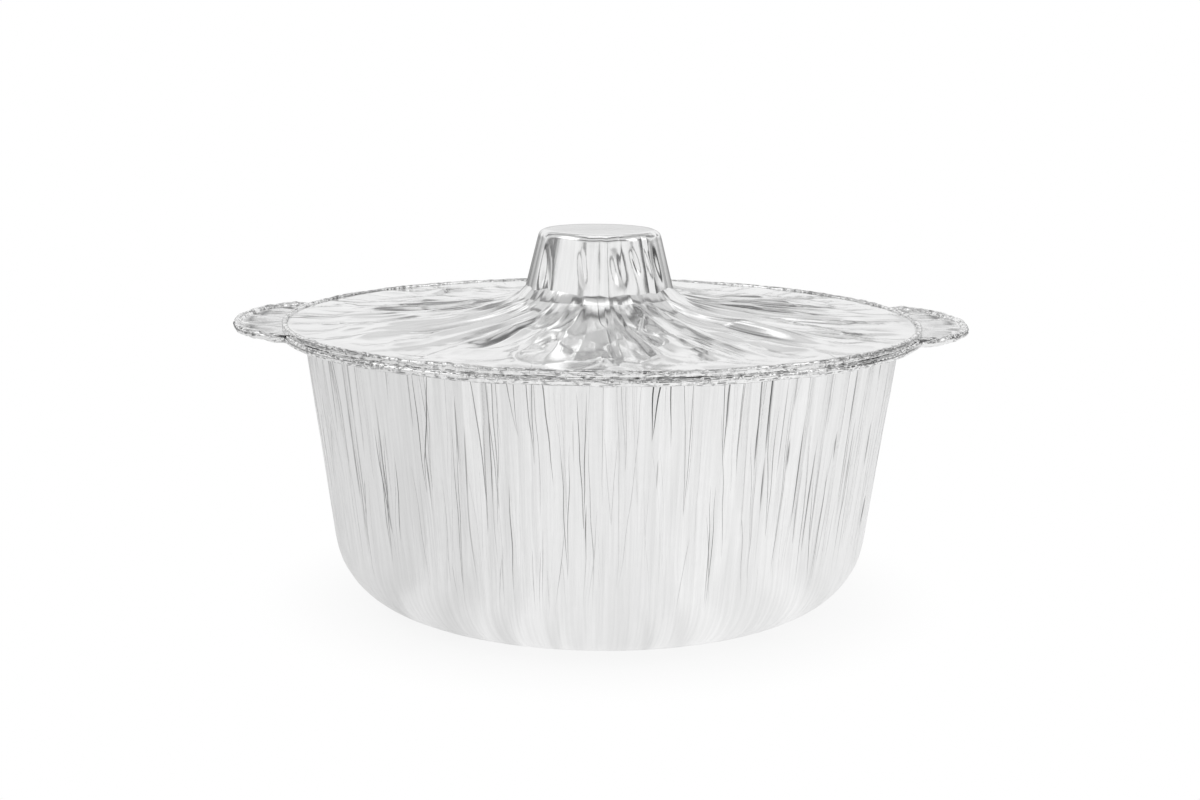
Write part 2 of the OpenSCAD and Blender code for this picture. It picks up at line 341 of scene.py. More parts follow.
def crease_group() -> bpy.types.NodeTree:
    """Builds the shader group that draws long thin creases, one at most in each cell.

    Returns:
        The group. Line is 1 on a crease, which the material paints as shade.
        Tuck steps up beside it and dies away.
    """
    # Lengths are shares of a cell.
    slide, aside, bow = 7.0, 0.4, 1.1
    half_lengths = (0.26, 0.49)
    fork_draws, fork_width = (0.62, 1.0), (0.0, 0.5)
    force_power, force_more, force_least = 2.2, 0.88, 0.12
    width_more, width_least = 0.8, 0.3
    softness, least_softness = 0.45, 0.0004
    tuck_reach = 0.28

    tree = bpy.data.node_groups.new("pressed_creases", "ShaderNodeTree")
    for name in ("Bearing", "Along", "Cells round", "Cell length"):
        tree.interface.new_socket(name, in_out="INPUT", socket_type="NodeSocketFloat")
    for name in ("Width", "Lean", "Share", "Seed"):
        tree.interface.new_socket(name, in_out="INPUT", socket_type="NodeSocketFloat")
    for name in ("Line", "Tuck"):
        tree.interface.new_socket(name, in_out="OUTPUT", socket_type="NodeSocketFloat")
    g = Steps(tree)
    given = add_node(tree, "NodeGroupInput").outputs
    across = g(Step.MULTIPLY, given["Bearing"], given["Cells round"])
    column = g(Step.FLOOR, across)
    drawn = {"Vector": g(Step.JOIN, column, given["Seed"], 3.7)}
    draws = {"noise_dimensions": "3D"}
    shifted = add_node(tree, "ShaderNodeTexWhiteNoise", draws, drawn).outputs["Value"]
    along = g(Step.DIVIDE, given["Along"], given["Cell length"])
    along = g(Step.MULTIPLY_ADD, shifted, slide, along)
    row = g(Step.FLOOR, along)
    drawn = {"Vector": g(Step.JOIN, column, row, given["Seed"])}
    draw = add_node(tree, "ShaderNodeTexWhiteNoise", draws, drawn).outputs
    parts = add_node(tree, "ShaderNodeSeparateColor", inputs={0: draw["Color"]}).outputs

    def again(factor: float) -> bpy.types.NodeSocket:
        """Another random value for the same cell."""
        return g(Step.FRACT, g(Step.MULTIPLY, draw["Value"], factor))

    def centred(value: bpy.types.NodeSocket) -> bpy.types.NodeSocket:
        """A value from 0 to 1, measured from its middle."""
        return g(Step.SUBTRACT, value, 0.5)

    x = centred(g(Step.SUBTRACT, across, column))
    y = centred(g(Step.SUBTRACT, along, row))
    shift = g(Step.MULTIPLY, centred(parts[0]), aside)
    lean = g(Step.MULTIPLY, centred(parts[1]), g(Step.MULTIPLY, given["Lean"], 2.0))
    bend = g(Step.MULTIPLY, centred(parts[2]), bow)
    base = g(Step.SUBTRACT, g(Step.SUBTRACT, x, shift), g(Step.MULTIPLY, lean, y))
    base = g(Step.SUBTRACT, base, g(Step.MULTIPLY, bend, g(Step.MULTIPLY, y, y)))
    half = g(Step.RAMP, again(7.13), 0.0, 1.0, *half_lengths)
    forked = g(Step.RAMP, again(3.31), *fork_draws, *fork_width)
    opened = g(Step.MULTIPLY, forked, g(Step.MAXIMUM, g(Step.ADD, y, half), 0.0))
    away = g(Step.SUBTRACT, g(Step.ABSOLUTE, base), opened)
    taper = g(Step.POWER, g(Step.ABSOLUTE, g(Step.DIVIDE, y, half)), 2.0)
    taper = g(Step.MAXIMUM, g(Step.SUBTRACT, 1.0, taper), 0.0)
    shown = g(Step.GREATER_THAN, given["Share"], again(13.7))
    force = g(Step.POWER, again(31.9), force_power)
    force = g(Step.MULTIPLY, shown, g(Step.MULTIPLY_ADD, force, force_more, force_least))
    wide = g(Step.MULTIPLY, taper, g(Step.MULTIPLY_ADD, force, width_more, width_least))
    wide = g(Step.MULTIPLY, given["Width"], wide)
    line = g(Step.SUBTRACT, wide, g(Step.ABSOLUTE, away))
    line = g(Step.DIVIDE, line, g(Step.MULTIPLY_ADD, wide, softness, least_softness))
    line = g(Step.MULTIPLY, g(Step.MINIMUM, g(Step.MAXIMUM, line, 0.0), 1.0), force)
    side = g(Step.MULTIPLY, base, g(Step.SIGN, centred(parts[2])))
    fall = g(Step.SOFT_RAMP, side, 0.0, tuck_reach, 1.0, 0.0)
    tuck = g(Step.MULTIPLY, fall, g(Step.GREATER_THAN, side, 0.0))
    tuck = g(Step.MULTIPLY, g(Step.MULTIPLY, tuck, taper), force)
    add_node(tree, "NodeGroupOutput", inputs={0: line, 1: tuck})
    return tree


@dataclass(frozen=True)
class Creases:
    """One layer of pressed creases. Widths and leans are shares of a cell."""

    cells_round: float
    cell_mm: float
    width: float
    lean: float
    share: float
    seed: float


@dataclass(frozen=True)
class Finish:
    """Pressed aluminium foil: cold-rolled, bright, with the creases that pressing leaves.

    Depths are in millimetres. Streaks and creases run up the wall, or outwards from the Z axis
    and up the knob. The crackle is the crushed surface of a rolled edge. The creases, the crackle's
    lines and the crease attribute darken the colour toward the crease shade: painted shade.
    """

    name: str
    light_hex: str
    shade_hex: str
    # Colour of the painted shade laid along creases and crackle lines.
    crease_shade_hex: str
    roughness: float
    reference_mm: float
    streak_mm: float
    streak_stretch: float
    streak_depth: float
    crumple_mm: float
    crumple_depth: float
    creases: tuple[Creases, ...] = ()
    groove_depth: float = 0.12
    tuck_depth: float = 0.16
    fade_mm: tuple[float, float] = (-1.0, 0.0)
    outwards: bool = False
    sway_mm: float = 3.2
    sway_length: float = 34.0
    crackle_depth: float = 0.0
    # How strongly the crackle lines are painted as shade, 0 for none.
    crackle_shade: float = 0.0
    # Where the noise turns from one tone or gloss to the other, and how far the gloss varies.
    tone_band: tuple[float, float] = (0.35, 0.65)
    gloss_band: tuple[float, float] = (0.3, 0.7)
    gloss_range: tuple[float, float] = (0.8, 1.25)
    # Crackle strokes of painted shade: stretch of the cells, width of the line and noise from
    # which it shows.
    strokes: tuple[tuple[tuple[float, float, float], float, float], ...] = (
        ((1.0, 1.0, 0.5), 0.06, 0.56),
        ((0.2, 0.2, 3.4), 0.12, 0.45),
    )
    stroke_edge: float = 0.08

    def build(self, group: bpy.types.NodeTree) -> bpy.types.Material:
        """Builds the material.

        Args:
            group: The crease group that the layers use.

        Returns:
            A node material that reads Object coordinates and the piece's crease attribute, and
            paints the creases as shade.
        """
        material = bpy.data.materials.new(self.name)
        material.use_nodes = True
        tree = material.node_tree
        tree.nodes.clear()
        g = Steps(tree)
        place = add_node(tree, "ShaderNodeTexCoord").outputs["Object"]
        axes = add_node(tree, "ShaderNodeSeparateXYZ", inputs={0: place}).outputs
        flat = g(Step.MULTIPLY_VECTORS, place, (1.0, 1.0, 0.0))
        along = axes["Z"]
        if self.outwards:
            along = g(Step.SUBTRACT, g(Step.LENGTH, flat), axes["Z"])
        spokes = add_node(
            tree,
            "ShaderNodeVectorMath",
            {"operation": "SCALE"},
            {0: g(Step.NORMALIZE, flat), "Scale": self.reference_mm / self.streak_mm},
        ).outputs[0]
        run = g(Step.MULTIPLY, along, 1.0 / (self.streak_mm * self.streak_stretch * MM))
        flow = g(Step.ADD_VECTORS, spokes, g(Step.JOIN, 0.0, 0.0, run))
        streak = g(Step.NOISE, flow, 0.0, 1.0, 4.0, NOISE_ROUGHNESS)
        fine = 1.0 / (self.crumple_mm * MM)
        crumple = g(Step.NOISE, place, 0.0, fine, 3.0, NOISE_ROUGHNESS)

        line, tuck = self._layers(g, group, place, axes, along)
        # Painted shade: the crease attribute, the crease lines and the crackle lines darken the
        # colour toward the crease shade, and the same amount cuts a groove into the bump.
        marked = add_node(tree, "ShaderNodeAttribute", {"attribute_name": "crease"}).outputs["Fac"]
        dark = g(Step.MAXIMUM, marked, line)
        if self.crackle_shade:
            dark = g(Step.MAXIMUM, dark, self._crack_shade_lines(g, flow, crumple))
        tone = add_node(
            tree,
            "ShaderNodeMix",
            {"data_type": "RGBA"},
            {
                "Factor": g(Step.RAMP, streak, *self.tone_band, 0.0, 1.0),
                "A": linear_colour(self.shade_hex),
                "B": linear_colour(self.light_hex),
            },
        ).outputs["Result"]
        colour = add_node(
            tree,
            "ShaderNodeMix",
            {"data_type": "RGBA"},
            {"Factor": dark, "A": tone, "B": linear_colour(self.crease_shade_hex)},
        ).outputs["Result"]
        height = g(Step.MULTIPLY, streak, self.streak_depth)
        height = g(Step.MULTIPLY_ADD, crumple, self.crumple_depth, height)
        height = g(Step.MULTIPLY_ADD, dark, -self.groove_depth, height)
        height = g(Step.MULTIPLY_ADD, tuck, self.tuck_depth, height)
        if self.crackle_depth:
            cells = add_node(
                tree, "ShaderNodeTexVoronoi", {"feature": "F1"}, {"Vector": flow, "Scale": 1.0}
            ).outputs["Distance"]
            height = g(Step.MULTIPLY_ADD, cells, -self.crackle_depth, height)
        bump = add_node(
            tree, "ShaderNodeBump", inputs={"Strength": 1.0, "Distance": MM, "Height": height}
        ).outputs["Normal"]
        low, high = (self.roughness * share for share in self.gloss_range)
        shader = add_node(
            tree,
            "ShaderNodeBsdfPrincipled",
            inputs={
                "Base Color": colour,
                "Metallic": 1.0,
                "Roughness": g(Step.RAMP, crumple, *self.gloss_band, low, high),
                "Normal": bump,
            },
        )
        add_node(tree, "ShaderNodeOutputMaterial", inputs={"Surface": shader.outputs["BSDF"]})
        return material

    def _crack_shade_lines(
        self, g: Steps, flow: bpy.types.NodeSocket, gate: bpy.types.NodeSocket
    ) -> bpy.types.NodeSocket:
        """Broken lines of painted shade across a crushed edge, and longer ones along it.

        Args:
            g: Adds steps to the material's tree.
            flow: Coordinates that run along the edge.
            gate: The noise that lets a stroke show.

        Returns:
            How much painted shade the strokes lay on, 0 to 1.
        """
        lines: Any = 0.0
        for stretch, width, low in self.strokes:
            edge = add_node(
                g.tree,
                "ShaderNodeTexVoronoi",
                {"feature": "DISTANCE_TO_EDGE"},
                {"Vector": g(Step.MULTIPLY_VECTORS, flow, stretch), "Scale": 1.0},
            ).outputs["Distance"]
            shown = g(Step.RAMP, gate, low, low + self.stroke_edge, 0.0, self.crackle_shade)
            stroke = g(Step.MULTIPLY, g(Step.RAMP, edge, 0.0, width, 1.0, 0.0), shown)
            lines = g(Step.MAXIMUM, lines, stroke)
        return lines

    def _layers(
        self,
        g: Steps,
        group: bpy.types.NodeTree,
        place: bpy.types.NodeSocket,
        axes: bpy.types.bpy_prop_collection,
        along: bpy.types.NodeSocket,
    ) -> tuple[Any, Any]:
        """Adds the crease layers, and fades them where the sheet is smooth.

        Args:
            g: Adds steps to the material's tree.
            group: The crease group.
            place: Object coordinates.
            axes: Their three parts.
            along: The distance along the sheet.

        Returns:
            The line of painted shade along the creases, and the tucked step.
        """
        if not self.creases:
            return 0.0, 0.0
        bearing = g(Step.DIVIDE, g(Step.ARCTAN2, axes["Y"], axes["X"]), 2 * math.pi)
        slow = 1.0 / (self.sway_length * MM)
        sway = g(Step.SUBTRACT, g(Step.NOISE, place, 0.0, slow, 1.0, NOISE_ROUGHNESS), 0.5)
        swing = self.sway_mm / (2 * math.pi * self.reference_mm)
        bearing = g(Step.MULTIPLY_ADD, sway, swing, bearing)
        line: Any = 0.0
        tuck: Any = 0.0
        for layer in self.creases:
            drawn = add_node(
                g.tree,
                "ShaderNodeGroup",
                {"node_tree": group},
                {
                    "Bearing": bearing,
                    "Along": along,
                    "Cells round": layer.cells_round,
                    "Cell length": layer.cell_mm * MM,
                    "Width": layer.width,
                    "Lean": layer.lean,
                    "Share": layer.share,
                    "Seed": layer.seed,
                },
            ).outputs
            line = g(Step.MAXIMUM, line, drawn["Line"])
            tuck = g(Step.ADD, tuck, drawn["Tuck"])
        low, high = self.fade_mm
        kept = g(Step.SOFT_RAMP, along, low * MM, high * MM, 0.0, 1.0)
        return g(Step.MULTIPLY, line, kept), g(Step.MULTIPLY, tuck, kept)


def strip(lower: int, upper: int, columns: int, outward: bool) -> list[list[int]]:
    """Quads between two rings of points.

    Args:
        lower: The first point of one ring.
        upper: The first point of the other.
        columns: How many points each ring has.
        outward: Which way the quads turn.

    Returns:
        The corners of each quad.
    """
    faces = []
    for j in range(columns):
        n = (j + 1) % columns
        quad = [lower + j, lower + n, upper + n, upper + j]
        faces.append(quad if outward else quad[::-1])
    return faces


@dataclass
class SheetMesh:
    """A closed foil sheet made of two runs of rings, fine in front and coarse behind."""

    name: str
    front: list[np.ndarray]
    back: list[np.ndarray]
    side: Side
    # Painted shade along the creases, one run for each front ring.
    crease: list[np.ndarray] = field(default_factory=list)

    def build(self) -> bpy.types.Object:
        """Joins the rings into one closed mesh.

        Returns:
            The object, linked to the scene, at the origin.
        """
        columns = len(self.front[0])
        points = np.vstack(self.front + self.back) * MM
        fronts, backs = len(self.front), len(self.back)
        downward = self.side is Side.DOWN_AND_OUT
        starts = [k * columns for k in range(fronts + backs)]
        faces: list[list[int]] = []
        for k in range(fronts - 1):
            faces += strip(starts[k], starts[k + 1], columns, downward)
        for k in range(fronts, fronts + backs - 1):
            faces += strip(starts[k], starts[k + 1], columns, not downward)
        faces += strip(starts[fronts - 1], starts[-1], columns, downward)
        ring = list(range(columns))
        down = ring[::-1] if downward else ring
        faces.append(down)
        faces.append([starts[fronts] + j for j in down[::-1]])
        mesh = bpy.data.meshes.new(self.name)
        mesh.from_pydata(points.tolist(), [], faces)
        mesh.shade_smooth()
        # The crease attribute carries painted shade: the material darkens the colour by it.
        mark = mesh.attributes.new("crease", "FLOAT", "POINT")
        marks = np.zeros(len(points), np.float32)
        if self.crease:
            marks[: fronts * columns] = np.concatenate(self.crease)
        mark.data.foreach_set("value", marks)
        made = bpy.data.objects.new(self.name, mesh)
        bpy.context.scene.collection.objects.link(made)
        return made


def ring_points(angle: np.ndarray, radius: np.ndarray, height: np.ndarray) -> np.ndarray:
    """Places a ring of points from angles in degrees, radii and heights."""
    a = np.radians(angle)
    return np.stack([radius * np.cos(a), radius * np.sin(a), height + 0 * a], axis=1)


def spread(lines: np.ndarray, shares: tuple[float, ...], wrap: float = 0.0) -> np.ndarray:
    """Puts extra columns between neighbouring lines.

    Args:
        lines: A value for each line, in order round the ring.
        shares: Where the columns stand between a line and the next one.
        wrap: What the value gains in a full turn.

    Returns:
        One value for each column.
    """
    following = np.append(lines[1:], lines[0] + wrap)
    return (lines[:, None] + (following - lines)[:, None] * np.array(shares)[None, :]).ravel()


@dataclass
class PotWall:
    """The pot's base, rounded corner and pleated wall."""

    solid: SolidRings
    base_r: float = 79.0
    corner_r: float = 31.0
    wall_top_r: float = 121.3
    pot_h: float = 113.7
    bend: float = 1.2
    foil_t: float = 0.3
    pleat_shares: tuple[float, ...] = (0.3, 0.62, 1.0)
    panel: tuple[float, ...] = (0.0, 0.07, 0.22, 0.41, 0.6, 0.79, 0.93)
    wall_rows: int = 46
    corner_rows: int = 12
    inside_corner_rows: int = 6
    inside_wall_rows: int = 9
    ring_band: tuple[float, float] = (3.0, 0.5)
    # Tucks beside the pleats: their depth, the dip on the line, and how much pull opens one.
    tuck: float = 0.42
    tuck_dip: float = 0.55
    tuck_pull: float = 0.9
    tuck_least: float = 0.15
    inside_tuck: float = 0.25
    # Lens shapes in which the tucks open: middle, half length, strength and taper.
    lens_middle: tuple[float, float] = (0.15, 1.05)
    lens_half: tuple[float, float] = (0.06, 0.3)
    lens_strength: tuple[float, float] = (0.25, 1.0)
    lens_taper: float = 0.8
    lenses_below: int = 4
    bulge: float = 0.16
    flute_h: float = 0.11
    flute_waves: tuple[int, int] = (14, 24)
    smooth_share: float = 0.25
    lip: float = 0.3
    lip_drop: float = 0.1
    seed: int = 7

    def __post_init__(self) -> None:
        """Works out the straight wall, at a tangent from the corner to the flange's bend."""
        half = self.foil_t / 2
        self.flange_z = self.pot_h - half
        top = np.array([self.wall_top_r, self.flange_z - self.bend])
        a = self.corner_r - half
        run = top - np.array([self.base_r, self.corner_r])
        self.tilt = math.atan2(run[1], run[0]) - math.acos(a / float(np.hypot(*run)))
        self.out = np.array([math.cos(self.tilt), math.sin(self.tilt)])
        self.foot = np.array([self.base_r, self.corner_r]) + a * self.out
        self.top = top

    def build(self) -> bpy.types.Object:
        """Builds the wall's sheet.

        Returns:
            The object, with painted shade marked along its tuck lines.
        """
        rng = np.random.default_rng(self.seed)
        n = self.solid.columns
        share, angles, offsets = self._lines(n)
        pull = 2 * offsets - np.roll(offsets, 1, axis=1) - np.roll(offsets, -1, axis=1)
        opened = np.clip(np.abs(pull) / self.tuck_pull, self.tuck_least, 1.0)
        fold = self._lenses(rng, share, n) * opened
        hand = rng.choice([-1.0, 1.0], n)
        swell = rng.normal(0.0, self.bulge, n)
        shares = np.array(self.panel)
        front, crease = [], []
        arc = np.linspace(-90.0, math.degrees(self.tilt), self.corner_rows + 1)[:-1]
        regular = spread(np.arange(n) * TURN / n, self.panel, TURN)
        flute = ripple(rng, len(regular), *self.flute_waves)
        for t in np.radians(arc):
            deep = ease(np.array([(t + math.pi / 2) / (self.tilt + math.pi / 2)]))[0]
            r = self.base_r + (self.corner_r + self.flute_h * deep * flute) * math.cos(t)
            front.append(ring_points(regular, r, self.corner_r * (1 + math.sin(t)) + 0 * r))
            crease.append(np.zeros(len(regular)))
        fade = ease(share / self.smooth_share)
        for k, s in enumerate(share):
            across = np.tile(shares, n)
            line = np.repeat(np.arange(n), len(shares))
            following = (line + 1) % n
            off = offsets[k][line] * (1 - across) + offsets[k][following] * across
            near = np.repeat(fold[k], len(shares))
            ahead = near[(np.arange(len(near)) + len(shares)) % len(near)]
            rise = np.where(hand[line] > 0, near * (1 - across) ** 2, 0.0)
            rise += np.where(hand[following] < 0, ahead * across**2, 0.0)
            on_line = across == 0.0
            off += self.tuck * np.where(on_line, -self.tuck_dip * near, rise)
            off += swell[line] * 4 * across * (1 - across) * fade[k]
            off += self.flute_h * flute * (1 - fade[k])
            middle = self.foot + (self.top - self.foot) * s
            r = middle[0] + (off + self.foil_t / 2) * self.out[0]
            z = middle[1] + (off + self.foil_t / 2) * self.out[1]
            front.append(ring_points(spread(angles[k], self.panel, TURN), r, z))
            # Painted shade on the fold line, as strong as the tuck is open.
            crease.append(np.where(on_line, np.clip(near, 0, 1), 0.0).astype(np.float32))
        last = front[-1]
        bend_r = self.wall_top_r + self.bend
        under_z = self.flange_z - self.foil_t - self.lip_drop
        under = ring_points(regular, bend_r + self.lip + 0 * regular, under_z)
        front += [0.5 * (last + under) - np.array([0, 0, self.lip_drop]), under]
        crease += [np.zeros(len(regular)), np.zeros(len(regular))]
        back = self._inside(regular, share, angles, offsets)
        back.append(under + np.array([0, 0, 2 * self.lip_drop]))
        return SheetMesh("pot_wall", front, back, Side.DOWN_AND_OUT, crease).build()

    def _lines(self, n: int) -> tuple[np.ndarray, np.ndarray, np.ndarray]:
        """Runs each pleat's line smoothly through the solid's rings of corners.

        Args:
            n: How many pleats the wall has.

        Returns:
            Shares of the way up the wall, and each pleat's bearing and offset at every share.
        """
        knots, bearing, offset = [0.0], [np.arange(n) * TURN / n], [np.zeros(n)]
        for s in self.pleat_shares:
            middle = self.foot + (self.top - self.foot) * s
            wide, high = self.ring_band
            near = np.abs(self.solid.height - middle[1]) < high
            near &= (self.solid.radius > middle[0] - wide) & (self.solid.radius < middle[0] + wide)
            ring = self.solid.ring(near, Pick.WIDEST)
            if len(ring) != n:
                raise ValueError(f"ring at share {s} has {len(ring)} corners, not {n}")
            from_middle = ring[:, 1:] - middle
            knots.append(s)
            bearing.append(ring[:, 0])
            offset.append(from_middle @ self.out - self.foil_t / 2)
        share = np.linspace(0.0, 1.0, self.wall_rows)
        bearings = through(knots, np.array(bearing), share)
        return share, bearings, through(knots, np.array(offset), share)

    def _lenses(self, rng: np.random.Generator, share: np.ndarray, n: int) -> np.ndarray:
        """How open each fold line is along its way: long lens shapes that taper at both ends.

        Args:
            rng: The seeded source of unevenness.
            share: Places on the way up the wall.
            n: How many pleats the wall has.

        Returns:
            One row for each place, 0 where the fold is shut.
        """
        total = np.zeros((len(share), n))
        for i in range(n):
            for _ in range(rng.integers(0, self.lenses_below)):
                middle, half = rng.uniform(*self.lens_middle), rng.uniform(*self.lens_half)
                strength = rng.uniform(*self.lens_strength)
                lens = np.clip(1 - ((share - middle) / half) ** 2, 0, 1) ** self.lens_taper
                total[:, i] = np.maximum(total[:, i], strength * lens)
        return total

    def _inside(
        self, regular: np.ndarray, share: np.ndarray, angles: np.ndarray, offsets: np.ndarray
    ) -> list[np.ndarray]:
        """The inner face, with fewer rings.

        Args:
            regular: Even angles round the ring.
            share: Places on the way up the wall.
            angles: Angles of the columns, one row for each place.
            offsets: Offsets of the pleats' lines, one row for each place.

        Returns:
            The rings, from the base up.
        """
        rings = []
        a = self.corner_r - self.foil_t
        arc = np.linspace(-90.0, math.degrees(self.tilt), self.inside_corner_rows)[:-1]
        for t in np.radians(arc):
            r = self.base_r + a * math.cos(t)
            rings.append(ring_points(regular, r + 0 * regular, self.corner_r + a * math.sin(t)))
        for k in np.linspace(0, len(share) - 1, self.inside_wall_rows).astype(int):
            off = spread(offsets[k], self.panel) - self.foil_t / 2 - self.inside_tuck * self.tuck
            middle = self.foot + (self.top - self.foot) * share[k]
            r, z = middle[0] + off * self.out[0], middle[1] + off * self.out[1]
            rings.append(ring_points(spread(angles[k], self.panel, TURN), r, z))
        return rings


@dataclass
class Crumple:
    """Crushes a rolled edge: wrinkles across it, fine cells, and a dent here and there."""

    fine_mm: float = 2.3
    fine_depth_mm: float = 0.4
    dent_mm: float = 6.0
    dent_depth_mm: float = 0.7
    cell_mm: float = 3.2
    cell_depth_mm: float = 0.2
    reference_mm: float = 129.0
    seed: float = 3.0

    def apply(
        self, piece: bpy.types.Object, rolled: bpy.types.Material, plain: bpy.types.Material
    ) -> bpy.types.Object:
        """Runs the crumple over a piece and keeps the result as a plain mesh.

        Args:
            piece: The smooth rolled edge, with its rolled attribute marking what may move.
            rolled: The foil of the crushed part, which the tree sets.
            plain: The foil of the rest.

        Returns:
            A new object with the crumpled mesh. The smooth one is removed.
        """
        tree = self._tree(rolled, plain, self.reference_mm)
        modifier = piece.modifiers.new("crumple", "NODES")
        modifier.node_group = tree
        values = {
            "Fine length": self.fine_mm * MM,
            "Fine depth": self.fine_depth_mm * MM,
            "Dent length": self.dent_mm * MM,
            "Dent depth": self.dent_depth_mm * MM,
            "Cell length": self.cell_mm * MM,
            "Cell depth": self.cell_depth_mm * MM,
            "Seed": self.seed,
        }
        for item in tree.interface.items_tree:
            if item.name in values:
                modifier[item.identifier] = values[item.name]
        piece.update_tag()
        shown = piece.evaluated_get(bpy.context.evaluated_depsgraph_get())
        mesh = bpy.data.meshes.new_from_object(shown)
        mesh.name = piece.name
        name = piece.name
        bpy.data.objects.remove(piece)
        made = bpy.data.objects.new(name, mesh)
        bpy.context.scene.collection.objects.link(made)
        return made

    @staticmethod
    def _tree(
        rolled: bpy.types.Material, plain: bpy.types.Material, reference_mm: float
    ) -> bpy.types.NodeTree:
        """The geometry tree: wrinkles, dents and cells push marked points along their normals.

        Args:
            rolled: The finish of the marked points.
            plain: The finish of the others.
            reference_mm: The radius at which the wrinkles run.

        Returns:
            The tree, whose inputs are the lengths and depths.
        """
        # Wrinkles run across the edge, so their pattern stretches outwards and up.
        outward_share, upward_share = 0.7, 0.3
        tree = bpy.data.node_groups.new("crumple_rolled_edge", "GeometryNodeTree")
        tree.interface.new_socket("Geometry", in_out="INPUT", socket_type="NodeSocketGeometry")
        for kind in ("Fine", "Dent", "Cell"):
            for name in (f"{kind} length", f"{kind} depth"):
                tree.interface.new_socket(name, in_out="INPUT", socket_type="NodeSocketFloat")
        tree.interface.new_socket("Seed", in_out="INPUT", socket_type="NodeSocketFloat")
        tree.interface.new_socket("Geometry", in_out="OUTPUT", socket_type="NodeSocketGeometry")
        g = Steps(tree)
        given = add_node(tree, "NodeGroupInput").outputs
        place = add_node(tree, "GeometryNodeInputPosition").outputs[0]
        normal = add_node(tree, "GeometryNodeInputNormal").outputs[0]
        marked = add_node(
            tree, "GeometryNodeInputNamedAttribute", {"data_type": "FLOAT"}, {"Name": "rolled"}
        ).outputs["Attribute"]
        axes = add_node(tree, "ShaderNodeSeparateXYZ", inputs={0: place}).outputs
        bearing = g(Step.MULTIPLY, g(Step.ARCTAN2, axes["Y"], axes["X"]), reference_mm * MM)
        outwards = g(Step.LENGTH, g(Step.MULTIPLY_VECTORS, place, (1.0, 1.0, 0.0)))
        wrinkled = g(
            Step.JOIN,
            g(Step.MULTIPLY_ADD, outwards, outward_share, bearing),
            g(Step.MULTIPLY, axes["Z"], upward_share),
            0.0,
        )
        push: Any = 0.0
        for length, depth, where in (
            ("Fine length", "Fine depth", wrinkled),
            ("Dent length", "Dent depth", place),
        ):
            wave = add_node(
                tree,
                "ShaderNodeTexNoise",
                {"noise_dimensions": "4D"},
                {
                    "Vector": where,
                    "W": given["Seed"],
                    "Scale": g(Step.DIVIDE, 1.0, given[length]),
                    "Detail": 1.0,
                    "Roughness": NOISE_ROUGHNESS,
                },
            ).outputs["Fac"]
            push = g(Step.MULTIPLY_ADD, g(Step.SUBTRACT, wave, 0.5), given[depth], push)
        scale = g(Step.DIVIDE, 1.0, given["Cell length"])
        cells = add_node(
            tree,
            "ShaderNodeTexVoronoi",
            {"voronoi_dimensions": "4D", "feature": "F1"},
            {"Vector": place, "W": given["Seed"], "Scale": scale},
        ).outputs["Distance"]
        push = g(Step.MULTIPLY_ADD, g(Step.SUBTRACT, 0.5, cells), given["Cell depth"], push)
        shift = add_node(
            tree,
            "ShaderNodeVectorMath",
            {"operation": "SCALE"},
            {0: normal, "Scale": g(Step.MULTIPLY, push, marked)},
        ).outputs[0]
        moved = add_node(
            tree, "GeometryNodeSetPosition", inputs={"Geometry": given["Geometry"], "Offset": shift}
        ).outputs[0]
        real = add_node(tree, "GeometryNodeRealizeInstances", inputs={0: moved}).outputs[0]
        crushed = g(Step.GREATER_THAN, marked, 0.5)
        dressed = add_node(
            tree, "GeometryNodeSetMaterial", inputs={"Geometry": real, "Material": plain}
        ).outputs[0]
        dressed = add_node(
            tree,
            "GeometryNodeSetMaterial",
            inputs={"Geometry": dressed, "Selection": crushed, "Material": rolled},
        ).outputs[0]
        add_node(tree, "NodeGroupOutput", inputs={0: dressed})
        return tree


def swept_edge(
    name: str, sections: list[np.ndarray], marks: list[Any], creases: list[Any]
) -> bpy.types.Object:
    """Joins matching points of a closed section, station by station, into a ring-shaped mesh.

    Args:
        name: The object's name.
        sections: One ring of stations for each point of the section, in order round the section.
        marks: How much each point of the section may be crumpled, for the whole ring or by station.
        creases: The painted shade of a pressed line along each point of the section, likewise.

    Returns:
        The object, linked to the scene, with faces outwards.
    """
    columns = len(sections[0])
    points = np.vstack(sections) * MM
    faces: list[list[int]] = []
    count = len(sections)
    for k in range(count):
        faces += strip(k * columns, ((k + 1) % count) * columns, columns, True)
    mesh = bpy.data.meshes.new(name)
    mesh.from_pydata(points.tolist(), [], faces)
    mesh.shade_smooth()
    for attribute, values in (("rolled", marks), ("crease", creases)):
        run = np.concatenate([value + np.zeros(columns, np.float32) for value in values])
        mesh.attributes.new(attribute, "FLOAT", "POINT").data.foreach_set("value", run)
    made = bpy.data.objects.new(name, mesh)
    bpy.context.scene.collection.objects.link(made)
    return made


